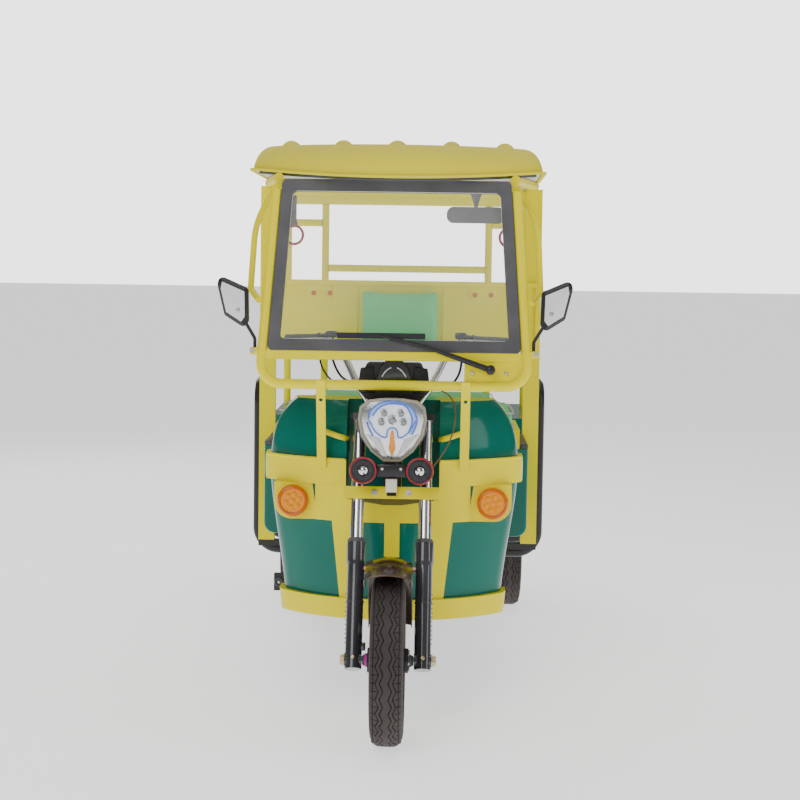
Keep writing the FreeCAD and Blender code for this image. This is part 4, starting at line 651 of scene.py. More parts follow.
half_track = 408.0
wheelbase = 2100.0
wheels = (("front_wheel", "wheel_front", at(0, 0, axle_z), 1),
          ("rear_left_wheel", "wheel_rear_left", at(half_track, wheelbase, axle_z), 1),
          ("rear_right_wheel", "wheel_rear_right", at(-half_track, wheelbase, axle_z), -1))
for wheel, body, centre, side in wheels:
    treaded_tyre(wheel.replace("wheel", "tread"), wheel.replace("wheel", "tyre"), body, centre)

# %% [markdown]
# ## Headlamp
# Behind the clear cover lie a curved blue light guide, five small diodes, an amber lens and silver facets.
# One glowing plate would do at a distance, but the lamp is what the eye meets first.
# Each part is a thin prism cut to its own outline, or a bar bent along it, just before the bright bowl.

# %% Headlamp bowl and light guide
lamp_floor = 171.0
lamp_front = 163.0


def lamp_outline(points, back):
    return [at(x, back, z) for x, z in points]


def lamp_prism(name, points, low, high, finish, rounding=1.2):
    mesh = bmesh.new()
    prism(mesh, lamp_outline(points, high), ahead * (high - low), rounding)
    piece(name, mesh, finish, "fork")


bowl = ((-97, 880), (-92, 915), (-70, 934), (-30, 940), (30, 940), (70, 934), (92, 915), (97, 880), (88, 836),
        (60, 790), (24, 762), (-24, 762), (-60, 790), (-88, 836))
lamp_prism("lamp_bowl", bowl, lamp_floor + 0.4, lamp_floor + 1.2, chrome, 0.2)
plate = ((-66, 878), (-60, 904), (-36, 928), (0, 934), (36, 928), (60, 904), (68, 876), (54, 838), (24, 824),
         (0, 830), (-24, 824), (-54, 838))
lamp_prism("lamp_plate", plate, lamp_floor - 0.6, lamp_floor + 0.2, lamp_white, 0.2)


def lamp_lines(name, lines, radius, finish):
    mesh = bmesh.new()
    for points in lines:
        bent_bar(mesh, lamp_outline(points, lamp_floor - radius), radius, 6)
    piece(name, mesh, finish, "fork")


brow_outer = ((-67, 880), (-66, 896), (-54, 914), (-36, 926), (-13, 932), (25, 930), (51, 917), (66, 895),
              (71, 868), (55, 838))
brow_inner = ((-55, 890), (-46, 905), (-34, 916), (-13, 925), (15, 925), (36, 921), (51, 900), (58, 868),
              (44, 842))
lamp_prism("lamp_brow_band", brow_outer + brow_inner[::-1], lamp_floor - 1.4, lamp_floor - 0.7, pale_guide,
           rounding=0.2)
lamp_lines("lamp_brow", (brow_outer, brow_inner), 2.6, light_guide)

# %% Headlamp lines and facets
cheek = ((-66, 878), (-60, 868), (-52, 850), (-36, 835), (-24, 829), (-15, 830), (-15, 846), (-8, 857),
         (8, 857), (15, 846), (15, 830), (24, 829), (36, 835), (52, 850), (60, 868), (66, 878))
left_edge = ((-72, 872), (-66, 850), (-54, 834))
lamp_lines("lamp_cheek_line", (cheek, left_edge), 2.2, light_guide)
turn_lens = ((0, 852), (-4, 846), (-10, 797), (0, 776), (10, 797), (4, 846))
lamp_prism("lamp_turn_lens", turn_lens, lamp_front, lamp_floor, amber)
facet_count = 6
for side in sides:
    mesh = bmesh.new()
    for number in range(facet_count):
        share = number / facet_count
        inner = 14 + share * 22
        outer = 30 + share * 46
        low = 774 + share * 52
        outline = lamp_outline(((side * inner, low), (side * outer, low + 14), (side * (outer + 6), low + 22),
                                (side * (inner + 2), low + 7.5)), lamp_floor)
        prism(mesh, outline, ahead * (3 + share * 2), 0.5, 1)
    piece("lamp_facets_left" if side > 0 else "lamp_facets_right", mesh, silver, "fork")

# %% Headlamp diodes
diodes = ((-31, 874, 9.6), (-23.6, 899, 9.6), (0, 880, 11.7), (23.6, 899, 9.6), (31, 874, 9.6))
mesh = bmesh.new()
hoods = bmesh.new()
for x, z, radius in diodes:
    turned(mesh, [(0, 5), (radius * 0.5, 4.6), (radius * 0.8, 3), (radius * 0.9, 0), (0, 0)], ahead,
           at(x, lamp_floor, z), 24)
    turned(hoods, [(radius * 0.92, 0), (radius * 0.92, 4.5), (radius * 1.08, 5.5), (radius * 1.2, 4.5),
                   (radius * 1.2, 0)], ahead, at(x, lamp_floor, z), 28)
piece("lamp_diodes", mesh, lamp_cell, "fork")
piece("lamp_diode_rings", hoods, chrome, "fork")

# %% Headlamp rim
rim_middle = 858.0
rim_inside = 0.93
mesh = bmesh.new()
rings = []
for share, back in ((1, lamp_front), (rim_inside, lamp_front), (rim_inside, lamp_floor), (1, lamp_floor)):
    shape = [(x * share, rim_middle + (z - rim_middle) * share) for x, z in bowl]
    rings.append([mesh.verts.new(point) for point in lamp_outline(shape, back)])
for ring, following in zip(rings, rings[1:] + rings[:1]):
    for number, corner in enumerate(ring):
        mesh.faces.new((ring[number - 1], corner, following[number], following[number - 1]))
bmesh.ops.recalc_face_normals(mesh, faces=mesh.faces)
round_edges(mesh, mesh.verts, 0.8, 2)
piece("lamp_rim", mesh, lens_rim, "fork")

# %% Headlamp brackets
bracket_x = 84.0
mesh = bmesh.new()
for side in sides:
    slab(mesh, at(side * bracket_x - 7, 176, 900), at(side * bracket_x + 7, 196, 922), 3.0)
    dome_bolt(mesh, at(side * bracket_x, 176, 911), ahead, 5, 3)
dome_bolt(mesh, at(0, 166, 767), ahead, 4, 2.5)
piece("lamp_brackets", mesh, black_plastic, "fork")

# %% [markdown]
# ## Turn lamps
# A round amber lamp has a deeper orange rim, and round cells on its face that spread the light.
# The cells could be a pattern, but they catch the light one by one, so each is a small turned dome.

# %% Turn lamps
turn_x = 290.0
turn_z = 625.0
turn_front = 326.0
cell_circle = 19.5
rim_section = [(34, -1), (35, 2.6), (38, 3.6), (42.5, 2), (45, -3), (45.5, -12), (43, -14), (40, -6),
               (34, -1)]
rims = bmesh.new()
cells = bmesh.new()
for side in sides:
    centre = at(side * turn_x, turn_front, turn_z)
    turned(rims, rim_section, ahead, centre, 48)
    places = [Vector((math.cos(turn), 0, math.sin(turn))) * cell_circle for turn in round_turns(6, 0.26)]
    for place in [origin] + places:
        turned(cells, [(0, 3.4), (4, 3.1), (7, 2), (8.6, 0), (8.6, -1), (0, -1)], ahead, centre + place, 20)
piece("turn_lamp_rims", rims, amber_rim, "chassis")
piece("turn_lamp_cells", cells, amber, "chassis")

# %% [markdown]
# ## Horns and the plate below them
# Each horn is a dark drum with a red ring round it and a chrome centre, and both hang on one bar.
# A cream block sits between the bar and the bright cross plate, which two bolts hold to the fork.
# Cylinders with bevels could make rings and centres, but a turned profile has the right curve at once.

# %% Horns
horn_x = 79.0
horn_z = 741.0
horn_front = 120.0
ring_section = [(33.5, 0), (34.2, 2.4), (36, 3), (37.6, 2), (38.6, -2), (38.6, -7), (36, -8), (33.5, -2),
                (33.5, 0)]
rings = bmesh.new()
centres = bmesh.new()
grilles = bmesh.new()
for side in sides:
    centre = at(side * horn_x, horn_front, horn_z)
    turned(rings, ring_section, ahead, centre, 48)
    turned(centres, [(0, 7), (3, 6.6), (7, 4.4), (12, 2.2), (13.5, 0), (13.5, -8), (0, -8)], ahead, centre,
           32)
    for radius in (17, 21, 25):
        turned(grilles, [(radius, -6), (radius, 1), (radius + 2, 1), (radius + 2, -6), (radius, -6)], ahead,
               centre, 32)
    for turn in round_turns(6):
        ray = Vector((math.cos(turn), 0, math.sin(turn)))
        rod(grilles, centre + ray * 12, centre + ray * 30, 1.2, segments=8)
piece("horn_rings", rings, red, "fork")
piece("horn_centres", centres, chrome, "fork")
piece("horn_grilles", grilles, gloss_black, "fork")

# %% Horn bar, block and bolts
mesh = bmesh.new()
slab(mesh, at(-42, 132, 722), at(42, 140, 757), 3.5)
piece("horn_bar_face", mesh, black_plastic, "fork")
mesh = bmesh.new()
for side in sides:
    dome_bolt(mesh, at(side * 26, 132, 745), ahead, 3.8, 2.6)
piece("horn_bar_screws", mesh, cream, "fork")
mesh = bmesh.new()
slab(mesh, at(-16, 140, 678), at(16, 158, 716), 3.0)
piece("horn_block", mesh, cream, "fork")
plate_bolts = bmesh.new()
for side in sides:
    centre = on_fork(side * 48, -22.2, 472)
    disc(plate_bolts, 8.5, 1.5, fork_ahead, centre, 24)
    hexagon(plate_bolts, centre, fork_ahead, 6.2, 6)
piece("plate_bolts", plate_bolts, steel, "fork")

# %% [markdown]
# ## Mirrors
# The mirror shells carry a bright inset on their backs, glass on their faces, and hang on bent arms.
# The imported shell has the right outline, so inset and glass are prisms with that outline made smaller.

# %% Mirror insets and glass
mirror_corners = ((-0.96, 0.5), (0.9, 0.98), (1.0, 0.62), (0.55, -0.52), (-0.7, -1.0), (-1.0, -0.75))
mirror_x = 458.0
mirror_z = 1202.0
mirror_half = (45.0, 75.0)


def mirror_outline(side, share, back):
    half_wide, half_high = [half * share for half in mirror_half]
    return [at(side * (mirror_x + wide * half_wide), back, mirror_z + high * half_high)
            for wide, high in mirror_corners]


# The insets are silver, painted pale white as a painted reflection of the bright room.
insets = bmesh.new()
glasses = bmesh.new()
clamps = bmesh.new()
clamp_bolts = bmesh.new()
for side in sides:
    prism(insets, mirror_outline(side, 0.76, 244.6), ahead * 2.6, 1.8, 3)
    prism(glasses, mirror_outline(side, 0.86, 265.6), length_axis * 1.6, 0.5)
    slab(clamps, at(side * 397 - 12, 240, 1052), at(side * 397 + 12, 263, 1073), 3.0)
    disc(clamp_bolts, 7, 1.5, ahead, at(side * 401, 240, 1064))
    hexagon(clamp_bolts, at(side * 401, 238.5, 1064), ahead, 5, 4)
    turned(clamp_bolts, [(0, 0), (7, 0), (6, 3.5), (0, 4.5)], ahead, at(side * (mirror_x - 15), 243, 1178),
           20)
piece("mirror_insets_painted_reflection", insets, pearl, "chassis")
piece("mirror_glass", glasses, mirror, "chassis")
piece("mirror_clamps", clamps, yellow, "chassis")
piece("mirror_bolts", clamp_bolts, steel, "chassis")

# %% Cab mirror face and stem
mesh = bmesh.new()
slab(mesh, at(150, 391, 1439), at(306, 393.5, 1474), 1.0)
piece("cab_mirror_glass", mesh, mirror, "chassis")
mesh = bmesh.new()
turned(mesh, [(0, 0), (5, 0), (8, 12), (14, 30), (24, 52), (24, 56), (0, 56)], up_axis, at(228, 382, 1480),
       28)
piece("cab_mirror_boot", mesh, grey_plastic, "chassis")

# %% [markdown]
# ## Instruments and controls
# The dark cluster has a raised, glossy crest over its middle and a round dial that faces the driver.
# Each end of the bar carries a control housing, a lever and a ribbed grip.
# The crest could be sculpted. Its outline and soft edge are what shows, so it is a prism, well rounded.

# %% Instrument crest
crest = ((-46, 952), (46, 952), (50, 985), (44, 1012), (28, 1036), (10, 1042), (-10, 1042), (-28, 1036),
         (-44, 1012), (-50, 985))
shoulder = ((52, 944), (98, 944), (103, 968), (96, 1016), (58, 1022))
mesh = bmesh.new()
prism(mesh, [at(x, 302, z) for x, z in crest], ahead * 9, 6.0, 4)
piece("cluster_crest", mesh, gloss_black, "fork")
# Two pale, faintly glowing curved bars on the crest are painted highlights.
mesh = bmesh.new()
for side in sides:
    bent_bar(mesh, [at(side * 8, 292, 1018), at(side * 24, 292, 1012), at(side * 34, 292, 992)], 1.6)
piece("cluster_painted_highlights", mesh, reflector_and_highlight, "fork")
mesh = bmesh.new()
for side in sides:
    prism(mesh, [at(side * x, 301, z) for x, z in shoulder], ahead * 4, 3.0, 3)
piece("cluster_shoulders", mesh, black_plastic, "fork")

# %% Dial
dial_centre = at(0, 345, 984)
mark_count = 11
mark_sweep = 260.0
mesh = bmesh.new()
turned(mesh, [(36, 0), (36, 5), (39, 8), (43, 7), (44, 0), (36, 0)], length_axis, dial_centre, 48)
piece("dial_rim", mesh, chrome, "fork")
mesh = bmesh.new()
turned(mesh, [(0, 0.6), (36, 0.6), (36, -1), (0, -1)], length_axis, dial_centre, 48)
piece("dial_face", mesh, cream, "fork")
mesh = bmesh.new()
for number in range(mark_count):
    turn = math.radians(mark_sweep * (number / (mark_count - 1) - 0.5))
    ray = Vector((math.sin(turn), 0, math.cos(turn)))
    rod(mesh, dial_centre + ray * 27 + length_axis, dial_centre + ray * 33 + length_axis, 0.9, segments=8)
rod(mesh, dial_centre + length_axis * 2.4, dial_centre + Vector((-19, 2.4, -17)), 1.4, 0.5, 10)
turned(mesh, [(0, 5), (4, 4.4), (5, 1), (0, 1)], length_axis, dial_centre, 20)
piece("dial_marks", mesh, gloss_black, "fork")

# %% Hand controls
grip_inner = at(215, 505, 1085)
grip_end = at(325, 556, 1080)
grip_way = (grip_end - grip_inner).normalized()
first_rib = 14.0
rib_step = 10.5
housings = bmesh.new()
levers = bmesh.new()
ribs = bmesh.new()
buttons = bmesh.new()


def to_side(side, vector):
    return Vector((side * vector.x, vector.y, vector.z))


for side in sides:
    start = to_side(side, grip_inner - grip_way * 26)
    end = to_side(side, grip_inner + grip_way * 10)
    turned(housings, [(11.4, -2), (16, 0), (21, 5), (22, 14), (20, 26), (16, 34), (11.4, 36)], end - start,
           start, 28)
    slab(housings, start + Vector((-17, -9, 6)), start + Vector((17, 13, 26)), 6.0, 3)
    pivot = start + Vector((side * 4, -16, 2))
    bent_bar(levers, [pivot, pivot + Vector((side * 34, -22, 2)), pivot + Vector((side * 100, 6, -4)),
                      pivot + Vector((side * 122, 24, -6))], 4.2)
    disc(levers, 6.4, 10, up_axis, pivot - up_axis * 5)
    for number in range(9):
        centre = to_side(side, grip_inner + grip_way * (first_rib + number * rib_step))
        turned(ribs, [(16.6, -2.6), (18.2, -1.2), (18.2, 1.2), (16.6, 2.6)], end - start, centre, 24)
    slab(buttons, start + Vector((-5, 11, 12)), start + Vector((5, 16, 20)), 1.6)
piece("control_housings", housings, black_plastic, "fork")
piece("hand_levers", levers, steel, "fork")
piece("grip_ribs", ribs, rubber, "fork")
piece("control_buttons", buttons, red, "fork")

# %% [markdown]
# ## Front trim
# A bright bar runs from each side into the recess behind the fork, and the cowl's band has rolled edges.
# A thin white bead lies inside the windscreen's rubber, and a black strip hangs under the roof's lip.
# Each could be cut as a panel. A tube that is swept along a smooth line needs only a few points,
# and the bead, which has straight sides, is made of four rods.

# %% Recess bar and band edge
mesh = bmesh.new()
bar_half = ((138, 376, 806), (137, 350, 807), (137, 322, 810), (150, 304, 815), (172, 312, 821),
            (198, 332, 828))
for side in sides:
    bent_bar(mesh, [at(side * x, back, z) for x, back, z in bar_half], 8.5, 12)
piece("recess_bar", mesh, yellow, "chassis")
mesh = bmesh.new()
band_edge = ((136, 292), (200, 314), (260, 345), (320, 387), (358, 422), (374, 441))
for side in sides:
    bent_bar(mesh, [at(side * x, back, 750) for x, back in band_edge], 4.6)
    bent_bar(mesh, [at(side * x, back + 5, 679) for x, back in band_edge], 3.0)
piece("band_edges", mesh, yellow, "chassis")

# %% Screws of the frame bar and the posts
frame_bolts = bmesh.new()
for x in (-205, -120, 120, 205, 230, 320):
    dome_bolt(frame_bolts, at(x, 224, 972), ahead, 5, 3.5)
for x in (222, 318):
    dome_bolt(frame_bolts, at(x, 232, 1010), ahead, 6, 4)
piece("frame_bolts", frame_bolts, steel, "chassis")

# %% Windscreen bead
screen_foot = at(0, 250, 1065)
screen_lean = math.radians(-10.4)
screen_corners = ((-327, 33), (-297, 461), (297, 461), (327, 33))


def on_screen(x, depth, height):
    return Matrix.Rotation(screen_lean, 3, "X") @ Vector((x, depth, height)) + screen_foot


mesh = bmesh.new()
loop = [on_screen(x, -4, height) for x, height in screen_corners]
for start, end in zip(loop, loop[1:] + loop[:1]):
    rod(mesh, start, end, 1.8, segments=10)
piece("glass_bead", mesh, pearl, "chassis")

# %% Roof trim
roof_half_width = 433.0
roof_front = 250.0
trim_behind = 24.0
trim_below = 3.0
roof_bow = 176.0
lip_lowest = 1555.0
lip_rise = 25.0


def on_arc(x, rise):
    """How far an arc that rises so much over the roof's half width has risen at x."""
    radius = (roof_half_width ** 2 + rise ** 2) / (2 * rise)
    return radius - math.sqrt(radius ** 2 - x ** 2)


trim = bmesh.new()
trim_line = [at(x, roof_front + trim_behind + on_arc(x, roof_bow),
                lip_lowest - trim_below + on_arc(x, lip_rise)) for x in range(-400, 401, 50)]
bent_bar(trim, trim_line, 4.0)
piece("roof_trim", trim, rubber, "chassis")

# %% [markdown]
# ## Ring handles
# A ring hangs on a short strap from each roof rail, for the passengers to hold.
# A ring is a circle spun round an axis at its side, so one turned profile makes it.

# %% Ring handles
mesh = bmesh.new()
straps = bmesh.new()
ring_radius = 30.0
ring_half = 4.5
for side in sides:
    centre = at(side * 352, 1100, 1398)
    section = [(ring_radius + ring_half * math.cos(turn), ring_half * math.sin(turn))
               for turn in round_turns(12)]
    turned(mesh, section + section[:1], length_axis, centre, 36)
    slab(straps, centre + Vector((-9, -2, ring_radius - 3)), centre + Vector((9, 2, 152)), 1.6)
    slab(straps, centre + Vector((-12, -4, ring_radius - 6)), centre + Vector((12, 4, ring_radius + 14)), 3.0)
piece("ring_handles", mesh, red, "chassis")
piece("ring_straps", straps, rubber, "chassis")

# %% [markdown]
# ## Cushions and pads
# The benches carry padded vinyl cushions with piped edges, which swell between their seams.
# A rounded block looks hard, so a slightly smaller block is remeshed and blown up by the cloth solver.
# How far a point may move is capped, so that the padding stays clear of what it rests on.

# %% Padding by cloth simulation
pressure = 4.0
frames = 20
voxel = 6.0


def swollen(mesh_object, cap):
    """Blows up a closed mesh, and lets no point move further than a cap."""
    before = [vert.co.copy() for vert in mesh_object.data.vertices]
    cloth = mesh_object.modifiers.new("swell", "CLOTH")
    cloth.settings.use_pressure = True
    cloth.settings.uniform_pressure_force = pressure
    cloth.settings.effector_weights.gravity = 0
    cloth.settings.quality = 4
    cloth.point_cache.frame_end = frames
    for frame_number in range(1, frames + 1):
        bpy.context.scene.frame_set(frame_number)
    shaped = mesh_object.evaluated_get(bpy.context.evaluated_depsgraph_get())
    after = [vert.co.copy() for vert in shaped.data.vertices]
    mesh_object.modifiers.remove(cloth)
    bpy.context.scene.frame_set(1)
    for vert, start, end in zip(mesh_object.data.vertices, before, after):
        step = end - start
        vert.co = start + (step if step.length < cap else step.normalized() * cap)


def remeshed(name, low, high, rounding):
    block = bmesh.new()
    slab(block, low, high, rounding, 3)
    bmesh.ops.scale(block, vec=(mm, mm, mm), verts=block.verts)
    data = bpy.data.meshes.new(name)
    block.to_mesh(data)
    block.free()
    made = placed(name, data)
    remesh = made.modifiers.new("voxels", "REMESH")
    remesh.mode = "VOXEL"
    remesh.voxel_size = voxel * mm
    fine = bpy.data.meshes.new_from_object(made.evaluated_get(bpy.context.evaluated_depsgraph_get()))
    made.modifiers.remove(remesh)
    made.data = fine
    return made


def padded_block(name, node, corners, margin, cap, rounding):
    """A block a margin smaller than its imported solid, swollen by at most the cap."""
    inset = Vector((margin, margin, margin))
    made = remeshed(name, Vector(corners[0]) + inset, Vector(corners[1]) - inset, rounding)
    swollen(made, cap * mm)
    made.data.shade_smooth()
    made.data.materials.append(seat_green.material)
    smooth = made.modifiers.new("smooth", "SUBSURF")
    smooth.levels = 1
    smooth.render_levels = 1
    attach(made, "chassis")
    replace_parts(made, node)
    print(name, "has", sum(len(face.vertices) - 2 for face in made.data.polygons), "triangles")


# %% Seat cushions
cushions = {
    "driver_cushion": ((-368, -441.5, 802.3), (368, -120.1, 864)),
    "middle_cushion": ((-368, -34.5, 770.3), (368, 353.5, 832)),
    "rear_cushion": ((-345, 773.5, 742.3), (345, 1131.5, 804)),
}
for name, corners in cushions.items():
    padded_block(name, "seat_cushions", corners, 5.0, 6.0, 14.0)

# %% Back pads
pads = {
    "driver_pad": ((-133, -119.8, 1044), (133, -76, 1223)),
    "middle_pad": ((-133, -72.5, 1044), (133, -28.5, 1223)),
    "rear_pad": ((-133, 1112, 989), (133, 1156, 1186)),
}
for name, corners in pads.items():
    padded_block(name, "back_pads", corners, 4.0, 7.0, 10.0)

# %% [markdown]
# ## Piping
# A pale cord is sewn into the upper and lower seam of each cushion and shows as a thin bead round it.
# A curve could follow each seam. The seams are straight, so rods with a ball at each corner do as well.

# %% Piped edges
piping = bmesh.new()
pipe_inset = 6.0
seam_in = 9.0
pipe_radius = 2.6


def pipe_loop(low, high, z):
    ends = (low[0] + pipe_inset, high[0] - pipe_inset)
    backs = (low[1] + pipe_inset, high[1] - pipe_inset)
    corners = [Vector((ends[x], backs[y], z)) for x, y in ((0, 0), (1, 0), (1, 1), (0, 1))]
    for start, end in zip(corners, corners[1:] + corners[:1]):
        rod(piping, start, end, pipe_radius, segments=10)
        bmesh.ops.create_uvsphere(piping, u_segments=10, v_segments=6, radius=pipe_radius,
                                  matrix=Matrix.Translation(start))


for low, high in cushions.values():
    for z in (high[2] - seam_in, low[2] + seam_in):
        pipe_loop(low, high, z)
piece("cushion_piping", piping, seat_piping, "chassis")

# %% [markdown]
# ## Fork and front wheel details
# The sliders carry small cooling teeth, the mudguard a rolled edge, and the hub a coloured cap and hex nuts.
# They are small, yet from the front they are what tells a real fork from two plain tubes.
# An array modifier could repeat the teeth. The fork leans, so a loop that works in its axes is simpler.

# %% Slider teeth and bracket
teeth = bmesh.new()
tooth_x = 118.4
tooth_half = 2.4
lowest_tooth = 48.0
tooth_step = 12.5
for side in sides:
    for number in range(12):
        along = lowest_tooth + number * tooth_step
        slab(teeth, on_fork(side * tooth_x - tooth_half, -7, along - tooth_half),
             on_fork(side * tooth_x + tooth_half, 7, along + tooth_half), 1.0, 1)
    for along in (62, 178):
        turned(teeth, [(23.6, -3), (25.4, -2), (25.4, 2), (23.6, 3)], fork_up,
               on_fork(side * fork_half, 0, along + 100), 32)
slab(teeth, on_fork(-74, -14, 22), on_fork(-62, 10, 52), 2.0)
piece("slider_teeth", teeth, gloss_black, "fork")

# %% Slider collars and drain bolts
collars = bmesh.new()
for side in sides:
    turned(collars, [(18.8, 0), (24, 0), (25.8, 3), (25.8, 9), (22, 13), (18.8, 13)], fork_up,
           on_fork(side * fork_half, 0, 329), 32)
piece("dust_collars", collars, rubber, "fork")
washer_x = 119.4
washer_depth = 3.0
bolts = bmesh.new()
for side in sides:
    dome_bolt(bolts, on_fork(side * fork_half, -23, 4), fork_ahead, 6, 4)
    turned(bolts, [(7.2, 0), (16.5, 0), (16.5, washer_depth), (7.2, washer_depth)], side_axis * side,
           at(side * washer_x, 0, axle_z), 28)
    hexagon(bolts, at(side * (washer_x + washer_depth), 0, axle_z), side_axis * side, 14.5, 9)
piece("fork_bolts", bolts, brass, "fork")

# %% Hub cones and cap
cones = bmesh.new()
for side in sides:
    turned(cones, [(12.3, 0), (19, 0), (17, 6), (13.5, 12), (12.3, 13)], side_axis * side,
           at(side * 56.6, 0, axle_z), 28)
piece("hub_cones", cones, rubber, "fork")
mesh = bmesh.new()
turned(mesh, [(13.6, 0), (18.5, 0.4), (18.5, 5), (15, 8), (13.6, 8)], -side_axis,
       at(-57.4, 0, axle_z + 0.2), 28)
piece("hub_cap", mesh, magenta, "fork")

# %% Mudguard edge and bolts
guard_front = math.radians(25)


def on_guard(x, radius):
    return at(x, -radius * math.sin(guard_front), axle_z + radius * math.cos(guard_front))


guard_section = ((-62, 246), (-63, 262), (-58, 271), (-34, 279), (0, 283.5), (34, 279), (58, 271), (63, 262),
                 (62, 246))
mesh = bmesh.new()
bent_bar(mesh, [on_guard(x, radius) for x, radius in guard_section], 3.0)
piece("mudguard_edge", mesh, amber_edge, "fork")
washers = bmesh.new()
bolts = bmesh.new()
for side in sides:
    centre = on_fork(side * 67, -9, 256)
    disc(washers, 7.5, 2, fork_ahead, centre)
    dome_bolt(bolts, centre + fork_ahead * 2, fork_ahead, 5, 3.5)
piece("mudguard_washers", washers, red, "fork")
piece("mudguard_bolts", bolts, cream, "fork")

# %% [markdown]
# ## Wiper, boards and benches
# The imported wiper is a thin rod, and the real arm is a tapered channel with a cap over its spindle.
# The boards behind the benches are bolted through tabs, and a dark strip closes each bench's side.
# All of it is straight or flat, so rods, slabs and turned caps are enough, and no curve is needed.

# %% Wiper arm
screen_ahead = on_screen(0, -1, 0) - on_screen(0, 0, 0)
wiper_bend = on_screen(180, -27, -18)
mesh = bmesh.new()
rod(mesh, on_screen(273, -30, -51), wiper_bend, 9.0, 7.5, 16)
rod(mesh, wiper_bend, on_screen(88, -24, 14), 7.5, 5.6, 16)
turned(mesh, [(0, 12), (8, 11), (12.5, 8), (14, 2), (14, -10), (0, -10)], screen_ahead,
       on_screen(273, -34, -51), 28)
piece("wiper_arm", mesh, black_plastic, "chassis")

# %% Board rail, tabs and bolts
mesh = bmesh.new()
slab(mesh, (-452, -84, 1237), (452, -75.9, 1253), 2.5)
for side in sides:
    slab(mesh, (side * 144 - 6, -79.5, 1046), (side * 144 + 6, -75.9, 1226), 1.2)
    slab(mesh, (side * 264 - 42, -78.4, 1192), (side * 264 + 42, -75.9, 1238), 1.0)
    slab(mesh, (side * 446 - 6, -82, 1044), (side * 446 + 6, -75.9, 1238), 2.0)
piece("board_rail", mesh, yellow, "chassis")
mesh = bmesh.new()
for x in (-283, -230, 244, 297):
    dome_bolt(mesh, (x, -78.4, 1210), ahead, 8, 4.5)
piece("board_bolts", mesh, amber_rim, "chassis")

# %% Bench side strips
mesh = bmesh.new()
strip_x = 396.7
strip_half = 13.3
strip_height = 14.8
for side in sides:
    inner = side * strip_x - strip_half
    for front, back, low in ((-411, -77, 742.2), (-34, 323, 710.2)):
        slab(mesh, (inner, front, low), (inner + 2 * strip_half, back, low + strip_height), 3.0)
piece("bench_strips", mesh, rubber, "chassis")

# %% [markdown]
# ## Floor and rear
# The rubber mat is ribbed along the vehicle so that shoes hold on it.
# Each tail lamp has an amber band and a pale one, which are thin covers on its red body.
# Ribs and bands could be drawn by a material, but they are seen from the side too, so each is a low slab.

# %% Mat ribs
mesh = bmesh.new()
rib_pitch = 46
for number in range(-6, 7):
    for front, back in ((-560, -416), (326, 642)):
        slab(mesh, (number * rib_pitch - 5, front, 335.8), (number * rib_pitch + 5, back, 338.6), 0.9, 1)
piece("mat_ribs", mesh, mat_rubber, "chassis")

# %% Tail lamp bands
ambers = bmesh.new()
pales = bmesh.new()
bezels = bmesh.new()
tail_x = 400
for side in sides:
    x = side * tail_x
    slab(ambers, (x - 41, 1346.6, 621), (x + 41, 1350.5, 647), 1.6)
    slab(pales, (x - 41, 1346.6, 565), (x + 41, 1350.5, 583), 1.6)
    for z in (562, 586, 618, 650):
        slab(bezels, (x - 45, 1345, z - 1.6), (x + 45, 1351, z + 1.6), 0.7, 1)
piece("tail_ambers", ambers, amber, "chassis")
piece("tail_pales", pales, reflector_and_highlight, "chassis")
piece("tail_bezels", bezels, gloss_black, "chassis")

# %% Tail board and lamp brackets
mesh = bmesh.new()
slab(mesh, (-150, 1322.2, 560), (150, 1325.4, 660), 3.0)
piece("plate_board", mesh, pearl, "chassis")
mesh = bmesh.new()
slab(mesh, (-158, 1322.1, 552), (158, 1324.0, 668), 1.2)
for x in (-300, 300):
    slab(mesh, (x - 22, 1322.2, 700), (x + 22, 1327, 722), 2.2)
piece("plate_frame", mesh, black_plastic, "chassis")
mesh = bmesh.new()
for x in (-120, 120):
    dome_bolt(mesh, (x, 1325.4, 646), length_axis, 5, 3)
for x in (-330, -200, -70, 70, 200, 330):
    dome_bolt(mesh, (x, 1322.2, 732), length_axis, 5, 3)
for side in sides:
    for y in (700, 860, 1020, 1180, 1290):
        dome_bolt(mesh, (side * 482.1, y, 732), side_axis * side, 5, 3)
piece("panel_screws", mesh, steel, "chassis")

# %% [markdown]
# ## Arches, wheel bolts and pedal
# A rubber lip runs round each rear wheel arch, six bolts hold each wheel, and the pedal has a ringed pad.
# A lip is an arc, so its line comes from a formula, and the bolts share their circle evenly.

# %% Arch lips
arch_radius = 267.0
arch_side = 480.5
mesh = bmesh.new()
for side in sides:
    middle = at(side * arch_side, wheelbase, axle_z)
    turns = [math.radians(value) for value in range(20, 161, 10)]
    arch = [middle + Vector((0, math.cos(turn), math.sin(turn))) * arch_radius for turn in turns]
    bent_bar(mesh, arch, 4.0, 4)
print("arch lips span", round((arch[0] - arch[-1]).length), "mm")
piece("arch_lips", mesh, rubber, "chassis")

# %% Wheel bolts
bolt_circle = 26.0
for wheel, body, centre, side in wheels:
    mesh = bmesh.new()
    low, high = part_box(wheel)
    face = (high.x if side > 0 else low.x) / mm
    for turn in round_turns(6):
        ring = Vector((0, math.cos(turn), math.sin(turn))) * bolt_circle
        hexagon(mesh, Vector((face - side, centre.y, centre.z)) + ring, side_axis * side, 5.5, 5)
    piece(wheel + "_bolts", mesh, steel, body)

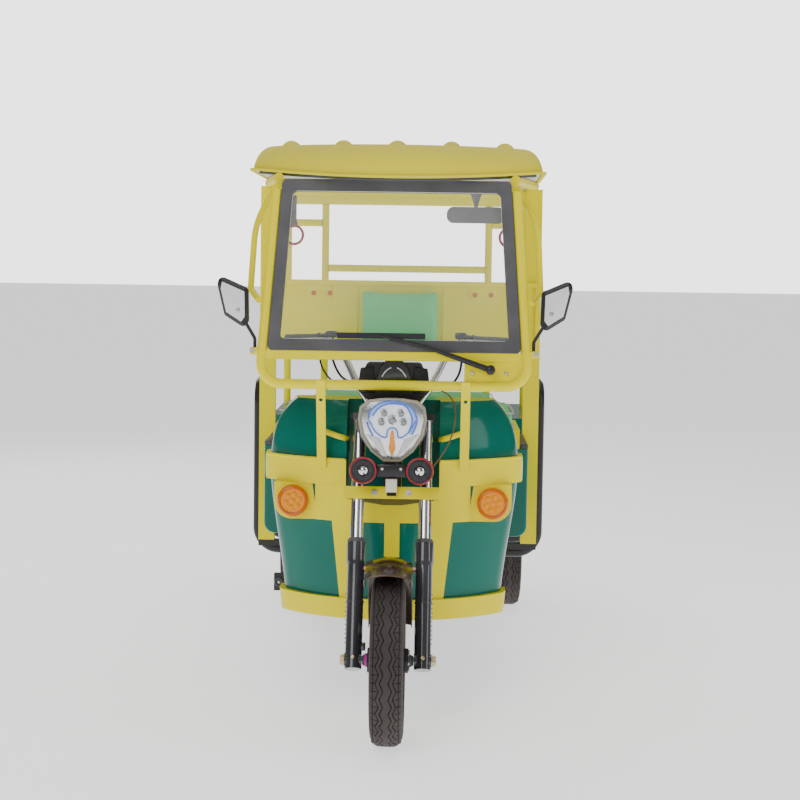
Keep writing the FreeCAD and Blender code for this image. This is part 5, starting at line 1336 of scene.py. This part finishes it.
# %% Brake pedal ring
pedal = at(-349, 592, 339)
mesh = bmesh.new()
turned(mesh, [(0, 1), (6, 1), (8, 4), (11, 5.5), (14, 4), (15, 0), (0, 0)], ahead, pedal, 28)
piece("pedal_ring", mesh, rubber, "chassis")
mesh = bmesh.new()
dome_bolt(mesh, pedal + ahead, ahead, 5, 3)
piece("pedal_bolt", mesh, steel, "chassis")

# %% [markdown]
# ## Control cables
# Thin cables leave the hand controls, bend under their own weight, and run into the cluster and the horn.
# Each is a smooth line through a few control points. The hand controls' cables turn with the fork.
# The horn's wire hangs from the frame bar.
# That wire's curve is turned into faces.

# %% Cables
cables = {
    "right_brake_cable": (5.5, cable_black, 0.276, (
        (-212, 500, 1079), (-228, 475, 1052), (-215, 430, 1000), (-172, 380, 960), (-132, 338, 955),
        (-100, 322, 958))),
    "throttle_cable": (7.0, cable_black, 0.232, (
        (-196, 494, 1072), (-192, 462, 1046), (-165, 420, 985), (-128, 365, 968), (-102, 325, 975))),
    "left_brake_cable": (7.0, cable_black, 0.252, (
        (196, 494, 1072), (196, 455, 1040), (190, 410, 995), (165, 368, 963), (128, 334, 960),
        (98, 322, 963))),
    "horn_wire": (4.0, cable_brown, 0.331, (
        (104, 322, 960), (140, 315, 955), (176, 285, 925), (178, 230, 860), (150, 175, 790),
        (112, 140, 748))),
}


def tube_and_way(cable):
    """Turns a curve into a tube of faces, and gives the points of its centre line too."""
    name = cable.name
    line = cable.data
    radius = line.bevel_depth
    made = []
    for depth in (0, radius):
        line.bevel_depth = depth
        bpy.context.view_layer.update()
        whole = cable.evaluated_get(bpy.context.evaluated_depsgraph_get())
        made.append(bpy.data.meshes.new_from_object(whole))
    bpy.data.objects.remove(cable)
    thin, thick = made
    return placed(name, thick), [vertex.co.copy() for vertex in thin.vertices]


for name, (diameter, finish, length, points) in cables.items():
    line = smooth_line(name, [at(*point) * mm for point in points], diameter / 2 * mm, 3, 12)
    line.materials.append(finish.material)
    cable = placed(name, line)
    way = None
    if name == "horn_wire":
        cable, way = tube_and_way(cable)
        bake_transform(cable)
    else:
        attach(cable, "fork")
    at(*points[0]) * mm
    diameter * mm
print("cables:", len(cables))
